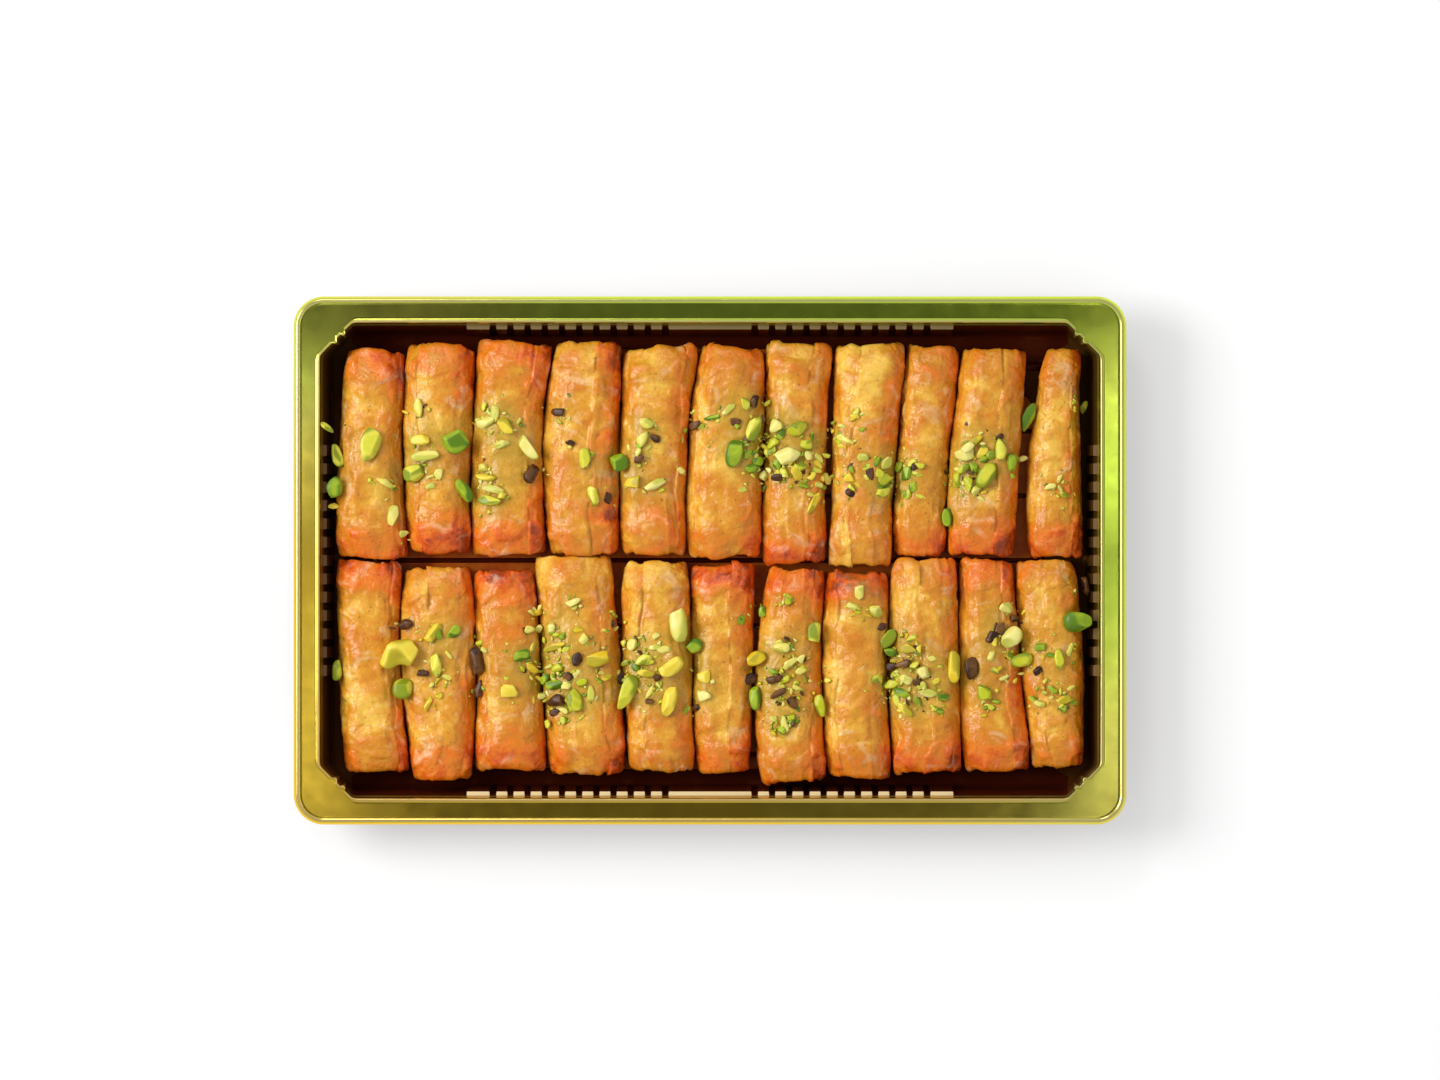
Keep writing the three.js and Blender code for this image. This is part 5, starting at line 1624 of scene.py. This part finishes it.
@dataclass(frozen=True)
class Chop:
    """How pieces of one size are meshed and chopped.

    They have rings, sides and planes, the planes lie at a share of the radius within depth, and an
    edge between two is as sharp as the power sharpness makes it. cut_share of the planes are cuts,
    and the others are the nut's own face. seed picks the draw.
    """

    rings: int
    sides: int
    planes: int
    depth: tuple[float, float]
    sharpness: float
    cut_share: float
    seed: int


@dataclass(frozen=True)
class Strewing:
    """How many small pieces are strewn, their least and most length and width for a length."""

    count: int
    lengths: tuple[float, float]
    slimness: tuple[float, float]
    seed: int


# How often each look comes among the strewn pieces.
STREWN_LOOKS = {Nut.LIME: 0.33, Nut.GREEN: 0.18, Nut.CREAM: 0.28, Nut.YELLOW: 0.15, Nut.SKIN: 0.06}


@dataclass
class Pistachios:
    """The pistachios: large pieces, chips round them, splinters and fine crumbs."""

    tray: Tray
    fingers: Fingers
    gap: float = 0.3
    thickness: float = 0.62
    roughness: float = 0.16
    fullness: float = 0.86
    tilt_share: float = 0.8
    slope_reach: float = 0.4
    look_seed: int = 51
    sink: float = 0.25
    large_chop: Chop = Chop(24, 32, 11, (0.55, 0.95), 26.0, 0.7, 15)
    chip_chop: Chop = Chop(17, 20, 12, (0.4, 0.88), 28.0, 0.7, 12)
    splinter_chop: Chop = Chop(10, 13, 9, (0.32, 0.8), 24.0, 0.75, 13)
    crumb_chop: Chop = Chop(4, 6, 5, (0.4, 0.8), 12.0, 0.75, 14)
    splinters: Strewing = Strewing(520, (1.2, 3.0), (0.32, 0.75), 21)
    crumbs: Strewing = Strewing(1400, (0.5, 1.5), (0.4, 0.9), 22)
    strewn: float = 3.2
    strewn_spread: float = 0.6
    strewn_limit: float = 1.8
    strewn_y: tuple[float, float] = (4.0, 52.0)
    strewn_x: float = 95.5
    small_bias: float = 1.6
    cut_tilt: float = 0.3
    lumps: float = 0.05
    lump_size: float = 0.7
    cleft_width: float = 0.32
    cleft_behind: float = 0.15
    steepest: float = 0.6
    overlap: float = 0.35
    nesting: float = 0.7
    most_lift: float = 1.6
    most_height: float = 22.6

    def ground(self, x: Array, y: Array) -> Array:
        """Gives the height of what a loose piece would land on: the highest of finger, wall and floor.

        Args:
            x: places in x.
            y: places in y.

        Returns:
            The heights.
        """
        inset = np.minimum(self.tray.length / 2 - np.abs(x), self.tray.width / 2 - np.abs(y))
        wall = self.tray.wall_height(inset - self.tray.rib_proud - self.gap)
        tops = [self.fingers.top(finger, x, y) for finger in FAR_ROW + NEAR_ROW]
        ridge = np.full(x.shape, self.tray.floor_top + self.tray.ridge_height)
        return np.maximum.reduce([wall, ridge, *tops])

    def settled(self, piece: Piece) -> Piece:
        """Moves a piece that lies over a valley on to the nearer finger, where it has room.

        Args:
            piece: the piece.

        Returns:
            The piece at its new place in x.
        """
        places = []
        for finger in FAR_ROW if piece.y > 0 else NEAR_ROW:
            share = (finger.y[0] - piece.y) / (finger.y[0] - finger.y[1])
            at = self.fingers.stations(finger, np.array(share))
            places.append((float(abs(piece.x - at.x) / at.half), float(at.x), float(at.half)))
        _, x, half = min(places)
        turn = np.radians(piece.turn)
        reach = np.hypot(piece.length * np.cos(turn), piece.width * np.sin(turn)) / 2
        limit = max(half - self.gap - reach * (1 + self.roughness), 0.0)
        return replace(piece, x=x + float(np.clip(piece.x - x, -limit, limit)))

    def slope(self, x: Array, y: Array, length: Array) -> Array:
        """Gives the tilt of pieces: the arc tangent of the rise under most of their length.

        Args:
            x: their x.
            y: their y.
            length: their length.

        Returns:
            The tilt in degrees, a little less than the slope of what is under them.
        """
        reach = self.slope_reach * length
        rise = self.ground(x - reach, y) - self.ground(x + reach, y)
        fall = np.clip(rise / (2 * self.slope_reach * length), -self.steepest, self.steepest)
        return np.degrees(np.arctan(fall)) * self.tilt_share

    def batch(self, pieces: tuple[Piece, ...], tilted: bool) -> Batch:
        """Makes a batch of pieces whose places are given.

        Args:
            pieces: the pieces.
            tilted: whether they lie on the slope of what is under them or flat.

        Returns:
            The batch.
        """
        fields = {name: np.array([getattr(piece, name) for piece in pieces], dtype=float)
                  for name in ("x", "y", "length", "width", "turn", "cleft")}
        tilt = self.slope(fields["x"], fields["y"], fields["length"]) if tilted else np.zeros(len(pieces))
        rng = np.random.default_rng(self.look_seed)
        return Batch(thickness=fields["width"] * self.thickness, tilt=tilt,
                     shade=rng.uniform(0.1, 0.8, len(pieces)), **fields)

    def scattered(self, strewing: Strewing) -> Batch:
        """Strews small pieces round the larger ones.

        Args:
            strewing: how many there are and how large.

        Returns:
            The pieces. Each lies at a normal distance from a chance one of the larger pieces, and
            inside the row that this one lies on.
        """
        count = strewing.count
        rng = np.random.default_rng(strewing.seed)
        centres = np.array([(piece.x, piece.y) for piece in CHIPS + SMALL_CHIPS])
        centre = centres[rng.integers(0, len(centres), count)]
        away = rng.normal(0.0, self.strewn_spread, centre.shape)
        place = centre + self.strewn * np.clip(away, -self.strewn_limit, self.strewn_limit)
        place[:, 1] = np.clip(np.abs(place[:, 1]), *self.strewn_y) * np.sign(centre[:, 1])
        place[:, 0] = np.clip(place[:, 0], -self.strewn_x, self.strewn_x)
        length = mix(*strewing.lengths, rng.uniform(0.0, 1.0, count) ** self.small_bias)
        width = length * rng.uniform(*strewing.slimness, count)
        return Batch(
            x=place[:, 0], y=place[:, 1], length=length, width=width,
            thickness=width * rng.uniform(0.5, 0.9, count), turn=rng.uniform(0.0, 180.0, count),
            tilt=self.slope(place[:, 0], place[:, 1], 2 * length), cleft=np.zeros(count),
            shade=rng.uniform(0.0, 1.0, count))

    def piled(self, batch: Batch) -> Array:
        """Works out how far each piece is lifted by the earlier ones that it lies on.

        Args:
            batch: the pieces, in the order in which they fell.

        Returns:
            The lift of each: the highest lift under it and most of that piece's thickness.
        """
        lift = np.zeros(len(batch.x))
        for index in range(1, len(batch.x)):
            away = np.hypot(batch.x[:index] - batch.x[index], batch.y[:index] - batch.y[index])
            under = away < self.overlap * (batch.length[:index] + batch.length[index]) / 2
            if under.any():
                lift[index] = np.max((lift[:index] + self.nesting * batch.thickness[:index])[under])
        return np.minimum(lift, self.most_lift)

    def shapes(self, batch: Batch, chop: Chop) -> list[Skin]:
        """Makes every piece of a batch: a ball chopped by chance planes, stretched and laid down.

        In a direction d the surface is as far from the middle as the p-norm of the planes says,
        (1 + sum over planes of (n.d / limit)^p)^(-1/p), which is flat on a plane and rounds the
        edge between two. The first plane faces up.

        Args:
            batch: the pieces.
            chop: how finely they are meshed and how they are chopped.

        Returns:
            One surface a piece, with the attributes cut, rim and shade.
        """
        rng = np.random.default_rng(chop.seed)
        count = len(batch.x)
        u = np.pi * np.arange(1, chop.rings + 1)[:, None] / (chop.rings + 1)
        v = TURN * np.arange(chop.sides)[None, :] / chop.sides
        ball = np.stack(np.broadcast_arrays(
            -np.cos(u), np.sin(u) * np.cos(v), np.sin(u) * np.sin(v)), axis=-1)
        ball = np.concatenate([ball.reshape(-1, 3), [[-1.0, 0.0, 0.0], [1.0, 0.0, 0.0]]])
        normal = rng.normal(0.0, 1.0, (count, chop.planes, 3))
        normal[:, 0] = normal[:, 0] * self.cut_tilt + np.array([0.0, 0.0, 1.0])
        normal /= np.linalg.norm(normal, axis=-1, keepdims=True)
        limit = rng.uniform(*chop.depth, (count, 1, chop.planes))
        is_cut = rng.uniform(0.0, 1.0, (count, 1, chop.planes)) < chop.cut_share
        facing = np.maximum(np.einsum("vi,npi->nvp", ball, normal), 0.0) / limit
        press = facing ** chop.sharpness
        total = 1.0 + press.sum(axis=-1)
        cut = (press * is_cut).sum(axis=-1) / total
        ranked = np.sort(facing, axis=-1)
        rim = smooth_step(0.7, 1.0, ranked[..., -2] / np.maximum(ranked[..., -1], 1e-6))
        shift = rng.uniform(0.0, 500.0, (count, 1, 3))
        lump = 1 + self.lumps * noise(ball + shift, (self.lump_size,) * 3, chop.seed)
        radius = total ** (-1.0 / chop.sharpness) * lump
        points = ball * radius[..., None]
        notch = batch.cleft[:, None] * bump(points[..., 0], 0.0, self.cleft_width)
        notch *= mix(1.0, self.cleft_behind, smooth_step(-0.2, 0.2, points[..., 1]))
        points[..., 1:] *= (1 - notch)[..., None]
        points = signed_power(points / np.max(np.abs(points), axis=1, keepdims=True), self.fullness)
        points *= np.stack([batch.length, batch.width, batch.thickness], axis=-1)[:, None, :] / 2
        turn, tilt = np.radians(batch.turn)[:, None], np.radians(batch.tilt)[:, None]
        x, y, z = points[..., 0], points[..., 1], points[..., 2]
        x, y = x * np.cos(turn) - y * np.sin(turn), x * np.sin(turn) + y * np.cos(turn)
        x, z = x * np.cos(tilt) + z * np.sin(tilt), z * np.cos(tilt) - x * np.sin(tilt)
        x, y = x + batch.x[:, None], y + batch.y[:, None]
        rise = np.max(self.ground(x, y) - z, axis=1, keepdims=True) - self.sink + self.piled(batch)[:, None]
        rise = np.minimum(rise, self.most_height - np.max(z, axis=1, keepdims=True))
        points = np.stack([x, y, z + rise], axis=-1)
        faces = ring_faces(chop.rings, chop.sides)
        shade = np.broadcast_to(batch.shade[:, None], cut.shape)
        return [Skin(points[i], faces, {"cut": cut[i], "rim": rim[i], "shade": shade[i]})
                for i in range(count)]

    def build(self) -> None:
        """Makes one piece for each large nut and one for each look of the chopped ones."""
        materials = {look: look.value.material() for look in Nut}
        large = self.shapes(self.batch(LARGE_NUTS, False), self.large_chop)
        for index, (nut, skin) in enumerate(zip(LARGE_NUTS, large), 1):
            add_piece(f"kernel_{index:02d}", skin, materials[nut.look],
                      (f"pistachio_{index:02d}",))
        placed = tuple(self.settled(piece) for piece in CHIPS) + SMALL_CHIPS
        chips = self.shapes(self.batch(placed, True), self.chip_chop)
        chips += self.shapes(self.scattered(self.splinters), self.splinter_chop)
        chips += self.shapes(self.scattered(self.crumbs), self.crumb_chop)
        rng = np.random.default_rng(self.look_seed + 1)
        order = list(Nut)
        shares = [STREWN_LOOKS[look] for look in order]
        looks = [order.index(piece.look) for piece in placed]
        looks += list(rng.choice(len(order), len(chips) - len(placed), p=shares))
        for number, look in enumerate(order):
            skins = [skin for skin, chosen in zip(chips, looks) if chosen == number]
            add_piece(f"chopped_{look.name.lower()}", Skin.joined(skins), materials[look])


# Syrup

@dataclass
class Syrup:
    """The syrup that has run off the fingers: a thin pool on the floor with an uneven edge."""

    half_length: float = 92.0
    half_width: float = 54.0
    level: float = 1.35
    base: float = 0.8
    sway: float = 3.0
    sway_run: float = 40.0
    sway_cell: float = 9.0
    rings: int = 24
    rings_below: int = 4
    sides: int = 240
    squareness: float = 0.35
    edge_power: float = 40.0
    thickness_at_edge: float = 0.2
    seed: int = 77

    def build(self) -> None:
        """Makes the pool from rings that grow from the middle and return below.

        A ring is a rounded rectangle: its half sides times cos and sin to a power, which noise sways.
        """
        angle = TURN * np.arange(self.sides) / self.sides
        circle = np.stack([np.cos(angle), np.sin(angle)], axis=-1)
        sway = noise(self.sway_run * circle, (self.sway_cell, self.sway_cell), self.seed)
        scale = 1 + self.sway / self.half_width * sway[:, None]
        half = np.array([self.half_length, self.half_width])
        outline = half * signed_power(circle, self.squareness) * scale
        size = np.concatenate([np.linspace(0.04, 1.0, self.rings),
                               np.linspace(0.995, 0.1, self.rings_below)])[:, None]
        is_top = np.arange(len(size))[:, None] < self.rings
        edge = np.sqrt(np.clip(1 - size ** self.edge_power, 0.0, 1.0))
        bottom = self.base - self.thickness_at_edge
        height = np.where(is_top, mix(self.base, self.level, edge), bottom)
        plan = outline[None] * size[..., None]
        points = np.concatenate([plan, np.broadcast_to(height[..., None], (*plan.shape[:2], 1))], axis=-1)
        poles = np.array([[0.0, 0.0, self.level], [0.0, 0.0, bottom]])
        skin = ring_skin(points, poles, {}, {})
        add_piece("syrup_pool", Skin(skin.points, skin.faces[:, ::-1]), SyrupFinish().material())


# Studio

@dataclass(frozen=True)
class SoftBox:
    """A rectangular light: where it hangs, what it is turned to, and its size, power and colour."""

    name: str
    place: tuple[float, float, float]
    target: tuple[float, float, float]
    size: tuple[float, float]
    power: float
    colour: str = "#ffffff"


@dataclass
class Studio:
    """The floor, the lights and a camera straight above the tray.

    In the photograph, 1440 by 1080 pixels, the tray's middle is at the pixel tray_pixel, and a pixel
    at the height of the rim is pixel_size wide.
    """

    picture: tuple[float, float] = (1440.0, 1080.0)
    tray_pixel: tuple[float, float] = (710.0, 560.5)
    pixel_size: float = 0.2614
    rim: float = 19.5
    distance: float = 3000.0
    sensor: float = 36.0
    floor_size: float = 6000.0
    zenith: float = 0.1
    horizon: float = 0.62
    dims_between: tuple[float, float] = (0.88, 0.985)
    floor_glow: float = 0.4
    floor_colour: str = "#d0d0d0"
    floor_roughness: float = 0.9
    boxes: tuple[SoftBox, ...] = (
        SoftBox("key", (-950.0, 260.0, 900.0), (0.0, 0.0, 0.0), (620.0, 620.0), 12.5),
        SoftBox("left_far", (-136.5, 35.5, 520.0), (-136.5, 35.5, 0.0), (53.0, 51.0), 0.0083),
        SoftBox("left_near", (-136.5, -48.0, 520.0), (-136.5, -48.0, 0.0), (53.0, 80.0), 0.0135),
        SoftBox("right_far", (143.0, 34.5, 520.0), (143.0, 34.5, 0.0), (52.0, 53.0), 0.0166),
        SoftBox("right_near", (143.0, -48.0, 520.0), (143.0, -48.0, 0.0), (52.0, 76.0), 0.0186),
        SoftBox("window", (-250.0, 950.0, 1000.0), (0.0, 0.0, 0.0), (320.0, 320.0), 2.2),
    )

    def add_camera(self) -> None:
        """Hangs the camera over the picture's middle, so that the view is straight down."""
        camera = bpy.data.cameras.new("camera")
        camera.sensor_width = self.sensor
        camera.lens = self.sensor * self.distance / (self.picture[0] * self.pixel_size)
        holder = bpy.data.objects.new("camera", camera)
        holder.location = (
            (self.picture[0] / 2 - self.tray_pixel[0]) * self.pixel_size * MM,
            (self.tray_pixel[1] - self.picture[1] / 2) * self.pixel_size * MM,
            (self.rim + self.distance) * MM)
        bpy.context.scene.collection.objects.link(holder)
        bpy.context.scene.camera = holder

    def add_lights(self) -> None:
        """Hangs the soft boxes, each turned to its target."""
        for box in self.boxes:
            lamp = bpy.data.lights.new(box.name, "AREA")
            lamp.shape = "RECTANGLE"
            lamp.size, lamp.size_y = (side * MM for side in box.size)
            lamp.energy = box.power
            lamp.color = linear(box.colour)[:3]
            holder = bpy.data.objects.new(box.name, lamp)
            place, target = (Vector(point) * MM for point in (box.place, box.target))
            holder.location = place
            holder.rotation_euler = (target - place).to_track_quat("-Z", "Y").to_euler()
            bpy.context.scene.collection.objects.link(holder)

    def add_world(self) -> None:
        """Lights the room evenly, dimmer straight overhead than round the sides."""
        world = bpy.data.worlds.new("studio")
        world.use_nodes = True
        tree = world.node_tree
        tree.nodes.clear()
        place = add_node(tree, "ShaderNodeTexCoord").outputs["Generated"]
        up = add_node(tree, "ShaderNodeSeparateXYZ", {0: place}).outputs["Z"]
        level = add_node(tree, "ShaderNodeMapRange", {
            "Value": up, "From Min": self.dims_between[0], "From Max": self.dims_between[1],
            "To Min": self.horizon, "To Max": self.zenith},
            interpolation_type="SMOOTHSTEP").outputs["Result"]
        glow = add_node(tree, "ShaderNodeBackground", {"Color": (1.0, 1.0, 1.0, 1.0), "Strength": level})
        add_node(tree, "ShaderNodeOutputWorld", {"Surface": glow.outputs[0]})
        bpy.context.scene.world = world

    def add_floor(self) -> None:
        """Lays the plain white floor, a sheet of white acrylic lit softly from below."""
        half = self.floor_size / 2 * MM
        mesh = bpy.data.meshes.new("floor")
        mesh.from_pydata([(-half, -half, 0), (half, -half, 0), (half, half, 0), (-half, half, 0)], [],
                         [(0, 1, 2, 3)])
        material, tree = new_material("white_acrylic")
        shader = add_node(tree, "ShaderNodeBsdfPrincipled", {
            "Base Color": linear(self.floor_colour), "Roughness": self.floor_roughness,
            "Specular IOR Level": 0.0, "Emission Color": linear("#ffffff"),
            "Emission Strength": self.floor_glow})
        add_node(tree, "ShaderNodeOutputMaterial", {"Surface": shader.outputs[0]})
        mesh.materials.append(material)
        floor = bpy.data.objects.new("floor", mesh)
        bpy.context.scene.collection.objects.link(floor)

    def build(self) -> None:
        """Sets up the studio."""
        bpy.context.scene.view_settings.view_transform = "Standard"
        self.add_camera()
        self.add_lights()
        self.add_world()
        self.add_floor()


def main() -> None:
    """Builds the studio and the object, sub-assembly by sub-assembly."""
    logging.basicConfig(level=logging.INFO, format="%(message)s")
    tray = Tray()
    fingers = Fingers()
    Studio().build()
    tray.build()
    Syrup().build()
    fingers.build()
    Pistachios(tray, fingers).build()


if __name__ == "__main__":
    main()
